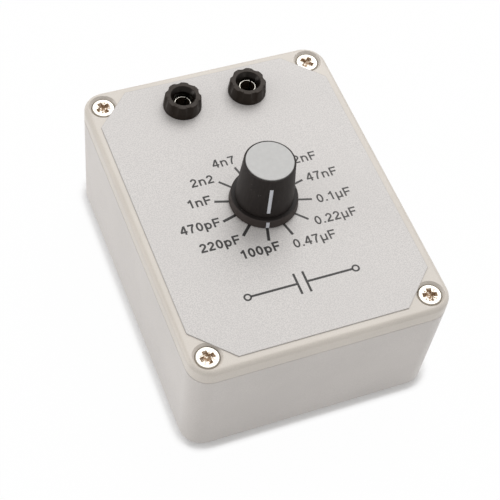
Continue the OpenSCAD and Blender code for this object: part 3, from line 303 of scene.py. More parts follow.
class StageLevels(bpy.types.PropertyGroup):
    """Camera and light."""

    eye: point("Eye", "Place of the camera", (-0.11169, -0.20144, 0.33568))
    aim: point("Aim", "Point that the camera looks at", (-0.00903, -0.01507, 0.0375))
    roll: angle("Roll", "Turn of the camera about its view", 9.482)
    lens: bpy.props.FloatProperty(
        name="Lens", description="Focal length", default=102.762, min=1.0, unit="CAMERA"
    )
    sky: share("Sky", "Strength of the even light", 0.52, 10.0)
    key_lamp: share("Key", "Power of the large lamp behind and above, in watts", 5.2, 100.0)
    side_lamp: share("Side", "Power of the lamp at the left, in watts", 3.5, 100.0)
    front_lamp: share("Front", "Power of the weak lamp in front, in watts", 0.6, 100.0)
    floor_glow: share("Floor glow", "How far the floor is lifted to white", 0.98)
    contact: length("Contact", "Reach of the shade where the case meets the floor", 3.0)


# Modelling


def look_at_nothing():
    """Leaves edit mode and deselects everything."""
    if bpy.context.object and bpy.context.object.mode != "OBJECT":
        bpy.ops.object.mode_set(mode="OBJECT")
    bpy.ops.object.select_all(action="DESELECT")


def alone(piece):
    """Makes one piece the only one selected."""
    look_at_nothing()
    piece.select_set(True)
    bpy.context.view_layer.objects.active = piece


def taken_up(name):
    """Names the new object and puts its place into its mesh."""
    piece = bpy.context.object
    piece.name = name
    piece.data.name = name
    bpy.ops.object.transform_apply(location=True, rotation=True, scale=True)
    return piece


def block(name, low, high):
    """A block between two corners, given in millimetres."""
    look_at_nothing()
    low, high = Vector(low) * MM, Vector(high) * MM
    bpy.ops.mesh.primitive_cube_add(size=1, location=(low + high) / 2, scale=high - low)
    return taken_up(name)


def drawn(name, points, origin=(0, 0, 0)):
    """A line of edges through points in millimetres, left in edit mode with all of it selected."""
    look_at_nothing()
    bpy.ops.mesh.primitive_plane_add(size=MM, location=(Vector(origin) + points[0]) * MM)
    piece = taken_up(name)
    bpy.context.tool_settings.mesh_select_mode = (True, False, False)
    bpy.ops.object.mode_set(mode="EDIT")
    bpy.ops.mesh.select_all(action="SELECT")
    bpy.ops.mesh.merge(type="CENTER")
    for here, there in zip(points, points[1:]):
        step = tuple((there - here) * MM)
        bpy.ops.mesh.extrude_vertices_move(TRANSFORM_OT_translate={"value": step})
    bpy.ops.mesh.select_all(action="SELECT")
    return piece


def softened(corners, steps):
    """Outline points from corners (radius, height, round), each round worn off over that length."""
    points = []
    last = len(corners)
    for i, (radius, height, cut) in enumerate(corners):
        here = Vector((radius, height))
        if not cut:
            points.append(here)
            continue
        before = Vector(corners[i - 1][:2]) - here
        after = Vector(corners[(i + 1) % last][:2]) - here
        start = here + before.normalized() * cut
        end = here + after.normalized() * cut
        for k in range(steps + 1):
            t = k / steps
            points.append(start * (1 - t) ** 2 + here * (2 * t * (1 - t)) + end * t**2)
    return points


def turned(name, corners, centre, steps, closed=True, round_steps=5):
    """A piece turned on the lathe: an outline in millimetres, spun about an upright axis."""
    points = [Vector((spot.x, 0, spot.y)) for spot in softened(corners, round_steps)]
    if closed:
        points.append(points[0])
    piece = drawn(name, points, (*centre, 0))
    x, y = centre
    bpy.ops.mesh.spin(steps=steps, angle=math.tau, center=(x * MM, y * MM, 0), axis=(0, 0, 1))
    bpy.ops.mesh.select_all(action="SELECT")
    bpy.ops.mesh.remove_doubles(threshold=WELD)
    bpy.ops.mesh.normals_make_consistent(inside=False)
    bpy.ops.object.mode_set(mode="OBJECT")
    return piece


def pen_stroke(points, width, height):
    """A flat stroke: its middle line is drawn, raised to a wall and thickened evenly to both sides."""
    piece = drawn("stroke", points)
    bpy.ops.mesh.remove_doubles(threshold=WELD)
    bpy.context.tool_settings.mesh_select_mode = (False, True, False)
    bpy.ops.mesh.select_all(action="SELECT")
    bpy.ops.mesh.extrude_region_move(TRANSFORM_OT_translate={"value": (0, 0, height * MM)})
    bpy.ops.object.mode_set(mode="OBJECT")
    wall = piece.modifiers.new("wall", "SOLIDIFY")
    wall.thickness = width * MM
    wall.offset = 0
    wall.use_even_offset = True
    bpy.ops.object.modifier_apply(modifier=wall.name)
    bpy.ops.object.mode_set(mode="EDIT")
    bpy.ops.mesh.select_all(action="SELECT")
    bpy.ops.mesh.normals_make_consistent(inside=False)
    bpy.ops.object.mode_set(mode="OBJECT")
    return piece


def turn_mesh(piece, radians, centre=(0, 0)):
    """Turns a piece's mesh about an upright axis through a point in millimetres."""
    pivot = Matrix.Translation(Vector((*centre, 0)) * MM)
    piece.data.transform(pivot @ Matrix.Rotation(radians, 4, "Z") @ pivot.inverted())


def cut_away(piece, *tools):
    """Cuts tool shapes out of a piece and removes them. A tool's own material stays on the cut."""
    for tool in tools:
        alone(piece)
        cutter = piece.modifiers.new("cut", "BOOLEAN")
        cutter.operation = "DIFFERENCE"
        cutter.solver = "EXACT"
        cutter.material_mode = "TRANSFER"
        cutter.object = tool
        bpy.ops.object.modifier_apply(modifier=cutter.name)
        bpy.data.objects.remove(tool)
    if not piece.data.polygons:
        raise RuntimeError(f"{piece.name}: nothing is left after the cut")


def smoothed(piece, limit=30):
    """Smooth shading up to an angle, led by the large faces."""
    alone(piece)
    bpy.ops.object.shade_smooth_by_angle(angle=math.radians(limit), keep_sharp_edges=False)
    even = piece.modifiers.new("even", "WEIGHTED_NORMAL")
    even.keep_sharp = True
    bpy.ops.object.modifier_apply(modifier=even.name)


def joined(name, pieces):
    """One piece made of several."""
    look_at_nothing()
    for piece in pieces:
        piece.select_set(True)
    bpy.context.view_layer.objects.active = pieces[0]
    bpy.ops.object.join()
    return taken_up(name)


# The finishes by name, filled by the first operator
FINISHES = {}


def finish_named(name):
    """A finish by its name."""
    if name not in FINISHES:
        raise RuntimeError(f"the finish {name} isn't made yet")
    return FINISHES[name]


def given(piece, slot, node, body="case", finish=None):
    """Gives a finished piece its material and the body that it rides on, and hides the solid that it stands
    for.
    """
    finish = finish or finish_named(slot)
    if piece.data.materials:
        piece.data.materials[0] = finish
    else:
        piece.data.materials.append(finish)
    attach(piece, body)
    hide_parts(node)


def printed(piece):
    """Gives a printed mark the dial's ink, on the case."""
    piece.data.materials.append(finish_named("ink"))
    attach(piece, "case")


# Shader maths


def arithmetic(operation, swapped=False):
    """A method for one operation on a signal and another value, or on the two swapped."""

    def method(self, other):
        return self.maths(operation, *((other, self) if swapped else (self, other)))

    return method


class Signal:
    """A shader value that ordinary arithmetic works on."""

    def __init__(self, recipe, socket):
        self.recipe = recipe
        self.socket = socket

    def maths(self, operation, *values):
        return self.recipe.node("Math", {"operation": operation}, dict(enumerate(values)))

    __add__ = arithmetic("ADD")
    __radd__ = arithmetic("ADD", swapped=True)
    __sub__ = arithmetic("SUBTRACT")
    __rsub__ = arithmetic("SUBTRACT", swapped=True)
    __mul__ = arithmetic("MULTIPLY")
    __rmul__ = arithmetic("MULTIPLY", swapped=True)
    __truediv__ = arithmetic("DIVIDE")
    __rtruediv__ = arithmetic("DIVIDE", swapped=True)
    __pow__ = arithmetic("POWER")
    larger = arithmetic("MAXIMUM")

    def length_with(self, other):
        """The distance from nought of a point with these two coordinates."""
        return (self * self + other * other) ** 0.5

    def sine(self):
        return self.maths("SINE", self)

    def size(self):
        return self.maths("ABSOLUTE", self)

    def ramp(self, low, high):
        """A soft step: nought at low, one at high."""
        ends = {"Value": self, "From Min": low, "From Max": high}
        return self.recipe.node("MapRange", {"interpolation_type": "SMOOTHSTEP"}, ends, "Result")


class Recipe:
    """A material, or the world, in the making."""

    def __init__(self, name, kind="materials"):
        self.owner = getattr(bpy.data, kind).new(name)
        self.owner.use_nodes = True
        self.tree = self.owner.node_tree
        self.tree.nodes.clear()
        if kind == "materials":
            self.place = self.node("TexCoord", output="Object")
            parts = self.node("SeparateXYZ", {}, {0: self.place}).socket.node
            self.x, self.y, self.z = (Signal(self, socket) for socket in parts.outputs)

    def node(self, kind, settings=None, sockets=None, output=0):
        """Adds a node: its settings, then the values or links of its sockets. Gives one output."""
        made = self.tree.nodes.new("ShaderNode" + kind)
        for key, value in (settings or {}).items():
            setattr(made, key, value)
        for key, value in (sockets or {}).items():
            if isinstance(value, Signal):
                self.tree.links.new(value.socket, made.inputs[key])
            else:
                made.inputs[key].default_value = value
        return Signal(self, made.outputs[output]) if made.outputs else made

    def noise(self, grain, detail=3.0, roughness=0.55, stretch=None):
        """Noise with features about one grain wide, in millimetres. A stretch scales each axis."""
        place = self.place
        if stretch:
            place = self.node("VectorMath", {"operation": "MULTIPLY"}, {0: place, 1: stretch}, "Vector")
        sockets = {"Vector": place, "Scale": 1 / (grain * MM), "Detail": detail, "Roughness": roughness}
        return self.node("TexNoise", {}, sockets, "Fac")

    def cells(self, grain):
        """Distance to scattered points about one grain apart, in grains."""
        return self.node("TexVoronoi", {}, {"Vector": self.place, "Scale": 1 / (grain * MM)}, "Distance")

    def reach(self, across, along):
        """Distance from the nearest of the upright axes at plus or minus these two distances."""
        return (self.x.size() - across).length_with(self.y.size() - along)

    def mix(self, factor, first, second):
        """A colour between two colours."""
        colours = {0: factor, 6: whole(first), 7: whole(second)}
        return self.node("Mix", {"data_type": "RGBA"}, colours, 2)

    def rays(self):
        """Whether light goes straight to the camera, and whether it does so or by gloss or glass."""
        kinds = self.node("LightPath").socket.node.outputs
        straight = seen = Signal(self, kinds["Is Camera Ray"])
        for kind in ("Is Glossy Ray", "Is Transmission Ray"):
            seen = seen.larger(Signal(self, kinds[kind]))
        return straight, seen

    def surface(self, tint, rough, height, depth, more=None):
        """Ends the material in a surface. The bump's depth is in millimetres."""
        bump = self.node("Bump", {}, {"Height": height, "Distance": depth * MM, "Strength": 1.0}, "Normal")
        sockets = {"Base Color": tint, "Roughness": rough, "Normal": bump, **(more or {})}
        return self.end("Material", self.node("BsdfPrincipled", {}, sockets))

    def end(self, kind, surface):
        self.node("Output" + kind, {}, {"Surface": surface})
        return self.owner


def whole(value):
    """A colour with its fourth value, or a signal as it is."""
    return value if isinstance(value, Signal) else (*value[:3], 1.0)


def shade(value, factor):
    """A colour made lighter or darker."""
    return tuple(min(1.0, part * factor) for part in value[:3])


# Finishes


def moulded(name, tone, grain, depth, rough, specular=0.4, drift=0.05, seam=None):
    """Moulded plastic: fine erosion grain, slow drift of tone, faint handling marks, painted shade along a
    seam.
    """
    m = Recipe(name)
    fine = m.noise(grain, 2.0)
    broad = m.noise(26.0, 3.0)
    marks = m.noise(5.0, 4.0, 0.7).ramp(0.56, 0.7)
    tint = m.mix(broad.ramp(0.3, 0.7), shade(tone, 1 - drift), shade(tone, 1 + drift * 0.4))
    tint = m.mix(fine.ramp(0.35, 0.65) * 0.35, tint, shade(tone, 0.84))
    # Painted shade: the seam between lid and case is darkened on the left and right walls.
    if seam:
        height, side = seam
        line = (m.z - height).size().ramp(0.24 * MM, 0.08 * MM)
        at_sides = m.x.size().ramp(side - 1.5 * MM, side - 0.5 * MM)
        tint = m.mix(line * at_sides * 0.7, tint, shade(tone, 0.45))
    rougher = rough + (fine - 0.5) * 0.16 + marks * 0.07
    return m.surface(tint, rougher, fine, depth, {"Specular IOR Level": specular})


def label_film(tone):
    """Satin printed film with a fine silver-grey fleck, painted shade on its cut sides and a thin darker line
    along its outline.
    """
    m = Recipe("label_film_flecked")
    fleck = m.noise(0.29, 1.0, 0.5)
    coarse = m.noise(0.9, 2.0, 0.6)
    broad = m.noise(30.0, 2.0)
    tint = m.mix(fleck.ramp(0.36, 0.64), shade(tone, 0.875), shade(tone, 1.09))
    tint = m.mix(coarse.ramp(0.55, 0.75) * 0.3, tint, shade(tone, 0.9))
    tint = m.mix(broad.ramp(0.35, 0.65) * 0.25, tint, shade(tone, 0.96))
    low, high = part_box("panel_label")
    middle = (low.y + high.y) / 2
    corners = [v.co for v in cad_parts["panel_label"].data.vertices]
    diagonal = max(abs(corner.x) + abs(corner.y - middle) for corner in corners)
    x, y = m.x.size(), (m.y - middle).size()
    past_corner = (x + y - diagonal) * math.sin(math.radians(45))
    past_edge = (x - high.x).larger(y - (high.y - middle)).larger(past_corner)
    # Painted shade on the label's cut sides, and a thin darker line along the outline of its top.
    edge_shade_and_line = m.z.ramp(LABEL_TOP - 0.03 * MM, LABEL_TOP - 0.09 * MM)
    edge_shade_and_line = edge_shade_and_line.larger(past_edge.ramp(-0.22 * MM, -0.05 * MM) * 0.45)
    tint = m.mix(edge_shade_and_line, tint, shade(tone, 0.6))
    rough = 0.5 + (fleck - 0.5) * 0.25
    return m.surface(tint, rough, fleck + coarse * 0.5, 0.008, {"Specular IOR Level": 0.35})


def screened_ink(tone):
    """Screened ink, thinner in places and faded towards the right."""
    m = Recipe("dial_ink_screened")
    thin = m.noise(0.18, 2.0)
    broad = m.noise(3.0, 2.0)
    faded = (m.x + m.y * 0.4).ramp(-16 * MM, 18 * MM) * 0.6
    tint = m.mix(thin.ramp(0.5, 0.8) * 0.4, tone, shade(tone, 1.7))
    tint = m.mix(faded, tint, shade(tone, 2.4))
    tint = m.mix(broad.ramp(0.4, 0.7) * 0.25, tint, shade(tone, 0.75))
    return m.surface(tint, 0.46 + thin * 0.14, thin, 0.004, {"Specular IOR Level": 0.35})


def knob_plastic(tone, rim, foot):
    """Satin black plastic: fine grain, streaks, a rim worn and lightened by a painted highlight, painted
    shade just above the foot and a paler cover below.
    """
    m = Recipe("knob_plastic_satin")
    fine = m.noise(0.16, 2.0)
    streak = m.noise(0.5, 2.0, 0.6, (1.0, 1.0, 0.16))
    dust = m.cells(1.1).ramp(0.16, 0.06) * m.noise(3.0, 1.0).ramp(0.52, 0.6)
    # Rim lightened partly by real wear and partly by a painted highlight along its edge.
    rim_wear_and_highlight = m.z.ramp(rim - 0.5 * MM, rim + 0.02 * MM) * m.noise(0.8, 2.0).ramp(0.3, 0.7)
    # Painted shade: a dark band on the knob just above its foot, where it meets the cover.
    low = m.z.ramp(foot + 0.9 * MM, foot) * m.z.ramp(foot - 0.02 * MM, foot + 0.02 * MM)
    tint = m.mix(streak.ramp(0.35, 0.7) * 0.5, shade(tone, 0.82), shade(tone, 1.36))
    tint = m.mix(rim_wear_and_highlight * 0.55, tint, shade(tone, 2.1))
    tint = m.mix(m.z.ramp(foot, foot - 0.1 * MM), tint, shade(tone, 2.2))
    tint = m.mix(low * 0.5, tint, shade(tone, 0.4))
    tint = m.mix(dust * 0.35, tint, (0.2, 0.19, 0.18))
    rough = 0.54 + (fine - 0.5) * 0.2 - rim_wear_and_highlight * 0.1 + dust * 0.2
    return m.surface(tint, rough, fine + streak * 0.4, 0.007, {"Specular IOR Level": 0.2})


def cap_plastic(tone, centre_y):
    """Grey cap: eggshell grain and the faint witness ring of its moulding."""
    m = Recipe("cap_plastic_eggshell")
    fine = m.noise(0.2, 2.0)
    spot = m.noise(1.6, 3.0, 0.6)
    reach = m.x.length_with(m.y + centre_y)
    ring = (reach / (0.75 * MM) - 1).size().ramp(0.16, 0.04)
    tint = m.mix(spot.ramp(0.35, 0.7), shade(tone, 0.96), shade(tone, 1.02))
    tint = m.mix(ring * 0.3, tint, shade(tone, 0.86))
    tint = m.mix(fine.ramp(0.5, 0.75) * 0.3, tint, shade(tone, 0.93))
    rough = 0.42 + (fine - 0.5) * 0.2 + spot * 0.06
    return m.surface(tint, rough, fine - ring * 0.8, 0.008, {"Specular IOR Level": 0.42})


def line_paint(tone):
    """Filled white line, slightly uneven."""
    m = Recipe("line_paint_filled")
    fine = m.noise(0.22, 2.0)
    soil = m.noise(1.3, 3.0, 0.6)
    tint = m.mix(soil.ramp(0.42, 0.75) * 0.6, tone, shade(tone, 0.78))
    tint = m.mix(fine.ramp(0.55, 0.8) * 0.3, tint, shade(tone, 0.7))
    return m.surface(tint, 0.5 + fine * 0.12, fine, 0.01)


def head_plastic(tone, sockets):
    """Black plastic of the socket heads: matt outside with fine rubs, smoother and darkened by painted shade
    in the funnel.
    """
    m = Recipe("head_plastic_black")
    fine = m.noise(0.14, 2.0)
    rub = m.noise(1.2, 4.0, 0.65).ramp(0.5, 0.72)
    dust = m.cells(0.9).ramp(0.14, 0.05) * m.noise(2.0, 1.0).ramp(0.5, 0.6)
    funnel = sockets.cup_width / 2
    inside = m.reach(sockets.pitch / 2, sockets.back).ramp(funnel + 0.02 * MM, funnel - 0.06 * MM)
    tint = m.mix(rub * 0.35, tone, shade(tone, 1.5))
    # Painted shade: the funnel inside the rim is darkened to a third of the head's tone.
    tint = m.mix(inside, m.mix(dust * 0.4, tint, (0.22, 0.21, 0.2)), shade(tone, 0.3))
    rough = 0.4 + (fine - 0.5) * 0.14 + rub * 0.14 + dust * 0.2
    more = {"Specular IOR Level": 0.2, "Specular Tint": (1.0, 0.91, 0.84, 1.0)}
    return m.surface(tint, rough * (1 - inside * 0.25), fine * (1 - inside * 0.8), 0.006, more)


def plated(name, tone, rough=0.22, pitch=0.12, soil=0.25, sockets=None):
    """Plated metal with turning marks round an upright axis. A sleeve's has a thread, and painted shade in
    its bore and on its nose's outer side.
    """
    m = Recipe(name)
    lines = (m.z * (math.tau / (pitch * MM)) + m.noise(0.5, 1.0) * 5.0).sine() * 0.5 + 0.5
    spots = m.noise(0.7, 4.0, 0.65).ramp(0.5, 0.75)
    fine = m.noise(0.08, 2.0)
    height = lines * 0.25 + fine * 0.4
    tint = m.mix(spots * soil, tone, shade(tone, 0.6))
    rougher = rough + spots * 0.16 + (fine - 0.5) * 0.12
    if not sockets:
        return m.surface(tint, rougher, height, 0.006, {"Metallic": 1.0})
    turns = (m.z * (math.tau / sockets.thread)).sine() * 0.5 + 0.5
    threaded = m.z.ramp(LABEL_TOP - 0.5 * MM, LABEL_TOP - 0.7 * MM)
    bore, nose = sockets.bore / 2, sockets.nose_width / 2
    reach = m.reach(sockets.pitch / 2, sockets.back)
    # Painted shade: the bore and the nose's outer side above the label are darkened almost to black.
    outside = reach.ramp(nose - 0.04 * MM, nose - 0.01 * MM) * m.z.ramp(LABEL_TOP, LABEL_TOP + 0.05 * MM)
    dull = reach.ramp(bore + 0.03 * MM, bore + 0.005 * MM).larger(outside * 0.85)
    tint = m.mix(dull, tint, (0.045, 0.03, 0.018))
    more = {"Metallic": 1 - dull * 0.75}
    return m.surface(tint, rougher + dull * 0.3, height * 0.06 + turns * threaded, 0.1, more)


def screw_plating(tone, dirt, screws):
    """Bright plating of the screw heads, with brown dirt smeared round the recess."""
    m = Recipe("screw_plating")
    fine = m.noise(0.1, 3.0)
    spots = m.noise(0.7, 4.0, 0.65).ramp(0.55, 0.8)
    reach = m.reach(screws.across, screws.along)
    smear = m.noise(0.55, 4.0, 0.7).ramp(0.5, 0.62) * reach.ramp(2.5 * MM, 1.2 * MM)
    top = screws.seat + screws.head_high
    low = m.z.ramp(top - 0.02 * MM, top - 0.09 * MM)
    soil = smear.larger(low * 0.25)
    tint = m.mix(soil, m.mix(spots * 0.3, shade(tone, 0.6), shade(tone, 0.48)), dirt)
    rough = 0.36 + spots * 0.08 + soil * 0.25
    return m.surface(tint, rough, fine, 0.006, {"Metallic": 1 - soil.larger(low) * 0.8})


def dirty_recess(tone, dirt):
    """Plating inside a screw's recess, mostly under brown dirt."""
    m = Recipe("recess_dirt")
    patch = m.noise(0.5, 3.0, 0.6).ramp(0.48, 0.62) * 0.7
    fine = m.noise(0.12, 3.0, 0.7)
    dull = m.mix(fine.ramp(0.3, 0.7), shade(dirt, 0.95), shade(dirt, 1.7))
    rough = 0.62 - patch * 0.34 + (fine - 0.5) * 0.2
    return m.surface(m.mix(patch, dull, tone), rough, fine, 0.03, {"Metallic": patch})


def cast_metal(name, tone, rough, soil=0.3, grain=0.5):
    """Metal without turning marks: stamped, drawn or soldered."""
    m = Recipe(name)
    spots = m.noise(grain * 4, 4.0, 0.65).ramp(0.42, 0.72)
    fine = m.noise(grain * 0.3, 3.0)
    tint = m.mix(spots * soil, tone, shade(tone, 0.55))
    rougher = rough + spots * 0.18 + (fine - 0.5) * 0.14
    return m.surface(tint, rougher, fine, 0.012, {"Metallic": 1.0})


def laminate(tone):
    """Paper laminate of the wafer, with its fibres and speckle."""
    m = Recipe("wafer_laminate")
    fibre = m.noise(0.35, 4.0, 0.7, (1.0, 0.22, 1.0))
    speck = m.noise(0.25, 2.0)
    tint = m.mix(fibre.ramp(0.3, 0.7), shade(tone, 0.8), shade(tone, 1.15))
    tint = m.mix(speck.ramp(0.6, 0.75) * 0.5, tint, shade(tone, 0.55))
    return m.surface(tint, 0.5 + (fibre - 0.5) * 0.2, fibre, 0.01)


def dipped(tone):
    """Dipped coating of the ceramic discs, uneven and waxy."""
    m = Recipe("disc_coating_dipped")
    wave = m.noise(1.6, 3.0, 0.5)
    pits = m.cells(0.5).ramp(0.2, 0.08)
    tint = m.mix(wave.ramp(0.3, 0.7), shade(tone, 0.82), shade(tone, 1.12))
    tint = m.mix(pits * 0.4, tint, shade(tone, 0.6))
    return m.surface(tint, 0.42 + wave * 0.16, wave - pits * 0.3, 0.05, {"Coat Weight": 0.15})


def sleeving(name, tone):
    """Soft insulation with a dull bloom."""
    m = Recipe(name)
    bloom = m.noise(1.1, 3.0, 0.6)
    fine = m.noise(0.18, 2.0)
    tint = m.mix(bloom.ramp(0.4, 0.75) * 0.5, tone, shade(tone, 1.5))
    return m.surface(tint, 0.44 + bloom * 0.16, fine, 0.008)


def make_finishes(tones, knob, sockets, dial):
    """The ink, and every material of the box by the record's slot names."""
    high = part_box("base_shell")[1]
    seam = (high.z, high.x)
    return {
        "ink": screened_ink(tones.ink),
        "case_plastic": moulded("case_plastic_grained", tones.case, 0.3, 0.012, 0.38, 0.5, seam=seam),
        "lid_plastic": moulded("lid_plastic_grained", tones.lid, 0.3, 0.012, 0.38, 0.5, seam=seam),
        "label_film": label_film(tones.label),
        "knob_plastic": knob_plastic(tones.knob, knob.rim_height, knob.foot_height),
        "cap_plastic": cap_plastic(tones.cap, dial.centre_y),
        "line_paint": line_paint(tones.line),
        "head_plastic": head_plastic(tones.head, sockets),
        "switch_plastic": moulded("switch_plastic_moulded", tones.switch, 0.25, 0.02, 0.42),
        "rotor_plastic": moulded("rotor_plastic_moulded", tones.rotor, 0.25, 0.012, 0.4),
        "wafer_board": laminate(tones.wafer),
        "disc_coating": dipped(tones.coating),
        "film_box": moulded("film_box_moulded", tones.film, 0.3, 0.01, 0.36, 0.5, 0.1),
        "nickel": plated("nickel_plated", tones.nickel),
        "steel": cast_metal("steel_drawn", tones.steel, 0.3),
        "brass": cast_metal("brass_machined", tones.brass, 0.28),
        "bronze": cast_metal("bronze_spring", tones.bronze, 0.34),
        "tinned": cast_metal("tinned_plate", tones.tin, 0.36),
        "solder": cast_metal("solder_dull", shade(tones.tin, 0.85), 0.3, 0.4, 0.7),
        "copper": cast_metal("copper_strand", tones.copper, 0.32),
        "red_sleeving": sleeving("red_insulation", tones.red),
        "black_sleeving": sleeving("black_insulation", tones.black),
    }


# Pieces


class BOX_OT_finishes(bpy.types.Operator):
    """Makes the finishes and puts them on the solids that stay"""

    bl_idname = "substitution_box.finishes"
    bl_label = "Finishes"

    def execute(self, context):
        scene = context.scene
        made = make_finishes(scene.box_finishes, scene.box_knob, scene.box_sockets, scene.box_dial)
        FINISHES.update(made)
        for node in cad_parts.values():
            for place in node.material_slots:
                place.material = finish_named(place.material.name.split(".")[0])
            self.even_out(node)
        return {"FINISHED"}

    def even_out(self, node):
        """Merges the loose triangles for shading and keeps the real edges sharp."""
        node.data.shade_smooth()
        weld = node.modifiers.new("weld", "WELD")
        weld.merge_threshold = WELD
        split = node.modifiers.new("edges", "EDGE_SPLIT")
        split.split_angle = SHARP
        split.use_edge_sharp = False
        even = node.modifiers.new("even", "WEIGHTED_NORMAL")
        even.keep_sharp = True


def dial_centre(context):
    """The dial's centre from the lid's middle, in millimetres."""
    return (0, -context.scene.box_dial.centre_y / MM)


def turned_with_line(name, outline, k, centre, line):
    """A piece turned and grooved for its pointer line, which leans with the outline's first side."""
    (foot, low, _), (edge, top, _) = outline[:2]
    x, y = centre
    half = k.line_width / 2
    tool = block("line_groove", (x, y - half, line[0]), (x + foot + CLEAR, y + half, line[1]))
    for corner in tool.data.vertices:
        if corner.co.x < (x + CLEAR) * MM:
            risen = (corner.co.z / MM - low) / (top - low)
            corner.co.x = (x + foot - (foot - edge) * risen - k.line_depth) * MM
    turn_mesh(tool, k.line_turn, centre)
    piece = turned(name, outline, centre, FINE)
    cut_away(piece, tool)
    smoothed(piece)
    return piece


class BOX_OT_knob_body(bpy.types.Operator):
    """Turns the tapered knob and cuts the groove of its pointer line"""

    bl_idname = "substitution_box.knob_body"
    bl_label = "Knob body"

    def execute(self, context):
        k = in_mm(context.scene.box_knob)
        recess = k.cap_width / 2 + k.cap_gap
        outline = [
            (k.foot_width / 2, k.foot_height, k.foot_edge),
            (k.top_width / 2, k.rim_height, k.edge),
            (recess, k.rim_height, EASE),
            (recess, k.cap_seat, 0),
            (k.nut_width / 2, k.cap_seat, 0),
            (k.nut_width / 2, k.nut_seat, 0),
            (k.collet_width / 2, k.nut_seat, 0),
            (k.collet_width / 2, k.hollow_top, 0),
            (k.hollow_width / 2, k.hollow_top, 0),
            (k.hollow_width / 2, k.foot_height, EASE),
        ]
        line = (k.line_low, k.line_high)
        piece = turned_with_line("knob_turned_body", outline, k, dial_centre(context), line)
        given(piece, "knob_plastic", "knob_body", "knob")
        return {"FINISHED"}


class BOX_OT_knob_cap(bpy.types.Operator):
    """Turns the grey cap that is let into the knob"""

    bl_idname = "substitution_box.knob_cap"
    bl_label = "Knob cap"

    # Points down the slope into the dish, in shares of its width and depth
    slope = ((0.4375, 0.6), (1, 1))

    def execute(self, context):
        k = in_mm(context.scene.box_knob)
        radius, low = k.cap_width / 2, k.cap_seat
        high = low + k.cap_height
        outline = [
            (0, low, 0),
            (radius - k.cap_foot, low, 0),
            (radius, low + k.cap_foot, 0),
            (radius, high, k.cap_edge),
        ]
        for across, down in self.slope:
            outline.append((radius - k.dish_rim * across, high - k.dish_deep * down, 0))
        outline.append((0, high - k.dish_deep, 0))
        piece = turned("knob_top_cap", outline, dial_centre(context), FINE, closed=False)
        smoothed(piece, limit=40)
        given(piece, "cap_plastic", "knob_cap", "knob")
        return {"FINISHED"}


class BOX_OT_nut_cover(bpy.types.Operator):
    """Turns the cover under the knob and cuts the groove of its line"""

    bl_idname = "substitution_box.nut_cover"
    bl_label = "Nut cover"

    def execute(self, context):
        k = in_mm(context.scene.box_knob)
        low, top = k.cover_low, k.foot_height
        roof = top - k.cover_roof
        collar = k.collar_width / 2
        inner = collar - k.collar_wall
        outline = [
            (k.cover_foot / 2, low, k.cover_edge),
            (k.cover_top / 2, top, k.foot_edge),
            (collar, top, 0),
            (collar, top + k.collar_height, EASE),
            (inner, top + k.collar_height, 0),
            (inner, roof, 0),
            (k.cover_bore / 2, roof, 0),
            (k.cover_bore / 2, low, 0),
        ]
        line = [corner.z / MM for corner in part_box("cover_pointer")]
        piece = turned_with_line("knob_nut_cover", outline, k, dial_centre(context), line)
        given(piece, "knob_plastic", "nut_cover", "knob")
        return {"FINISHED"}


def fluted_radius(radius, turn, height, s):
    """Radius of a head's side after its scallops, at a direction and a height below the rim."""
    pitch = math.tau / s.flutes
    off = (turn / pitch) % 1.0
    off = (off - 1.0 if off > 0.5 else off) * pitch
    wide = s.flute_round
    deep = wide / math.cos(s.flute_lean)
    centre = s.top_width / 2 - s.flute_deep + s.flute_round + math.tan(s.flute_lean) * height
    a = (math.cos(off) / deep) ** 2 + (math.sin(off) / wide) ** 2
    b = -2 * centre * math.cos(off) / deep**2
    c = (centre / deep) ** 2 - 1
    under = b * b - 4 * a * c
    if under <= 0:
        return radius
    flute = (-b - math.sqrt(under)) / (2 * a)
    return -s.crest * math.log(math.exp(-radius / s.crest) + math.exp(-flute / s.crest))


class BOX_OT_socket_heads(bpy.types.Operator):
    """Turns a socket head, scallops its side and copies it to both sockets"""

    bl_idname = "substitution_box.socket_heads"
    bl_label = "Socket heads"

    # Rings of points up a head's side, steps round it, and share of the lip that stays round
    rows = 12
    steps = 224
    kept_lip = 0.8

    def execute(self, context):
        s = in_mm(context.scene.box_sockets)
        first = self.head(s, "left_fluted_head")
        alone(first)
        bpy.ops.object.duplicate()
        second = bpy.context.object
        second.data.transform(Matrix.Translation((s.pitch * MM, 0, 0)))
        second.name = second.data.name = "right_fluted_head"
        given(first, "head_plastic", "left_head", "left_post")
        given(second, "head_plastic", "right_head", "right_post")
        return {"FINISHED"}

    def head(self, s, name):
        """The left head."""
        top = LABEL_TOP / MM
        foot, rim = top + s.foot_height, top + s.height
        outer, inner, cup = s.foot_width / 2, s.top_width / 2, s.cup_width / 2
        bore, throat = s.spigot_bore / 2, s.throat / 2
        outline = [
            (bore, top - s.spigot_length, EASE),
            (s.spigot_width / 2, top - s.spigot_length, s.spigot_edge),
            (s.spigot_width / 2, top + s.washer_high, 0),
            (s.washer_room / 2, top + s.washer_high, 0),
            (s.washer_room / 2, top, 0),
            (outer, top, EASE),
            (outer, foot, 0),
        ]
        for part in (i / self.rows for i in range(1, self.rows)):
            outline.append((outer + (inner - outer) * part, foot + (rim - foot) * part, 0))
        outline += [
            (inner, rim, s.edge),
            (cup + s.lip, rim, 0),
            (cup, rim, s.cup_edge),
            (throat, top + s.throat_top, EASE),
            (throat, top, 0),
            (bore, top, 0),
        ]
        middle = Vector((-s.pitch / 2, s.back))
        piece = turned(name, outline, middle, self.steps)
        inside = cup + s.lip * self.kept_lip
        for vertex in piece.data.vertices:
            offset = vertex.co.xy / MM - middle
            height = vertex.co.z / MM
            radius = offset.length
            if radius > inside and height > foot:
                fluted = fluted_radius(radius, math.atan2(offset.y, offset.x), rim - height, s)
                fade = min(1.0, (height - foot) / s.flute_fade)
                vertex.co.xy = (middle + offset * (1 + (fluted / radius - 1) * fade)) * MM
        smoothed(piece, limit=38)
        return piece


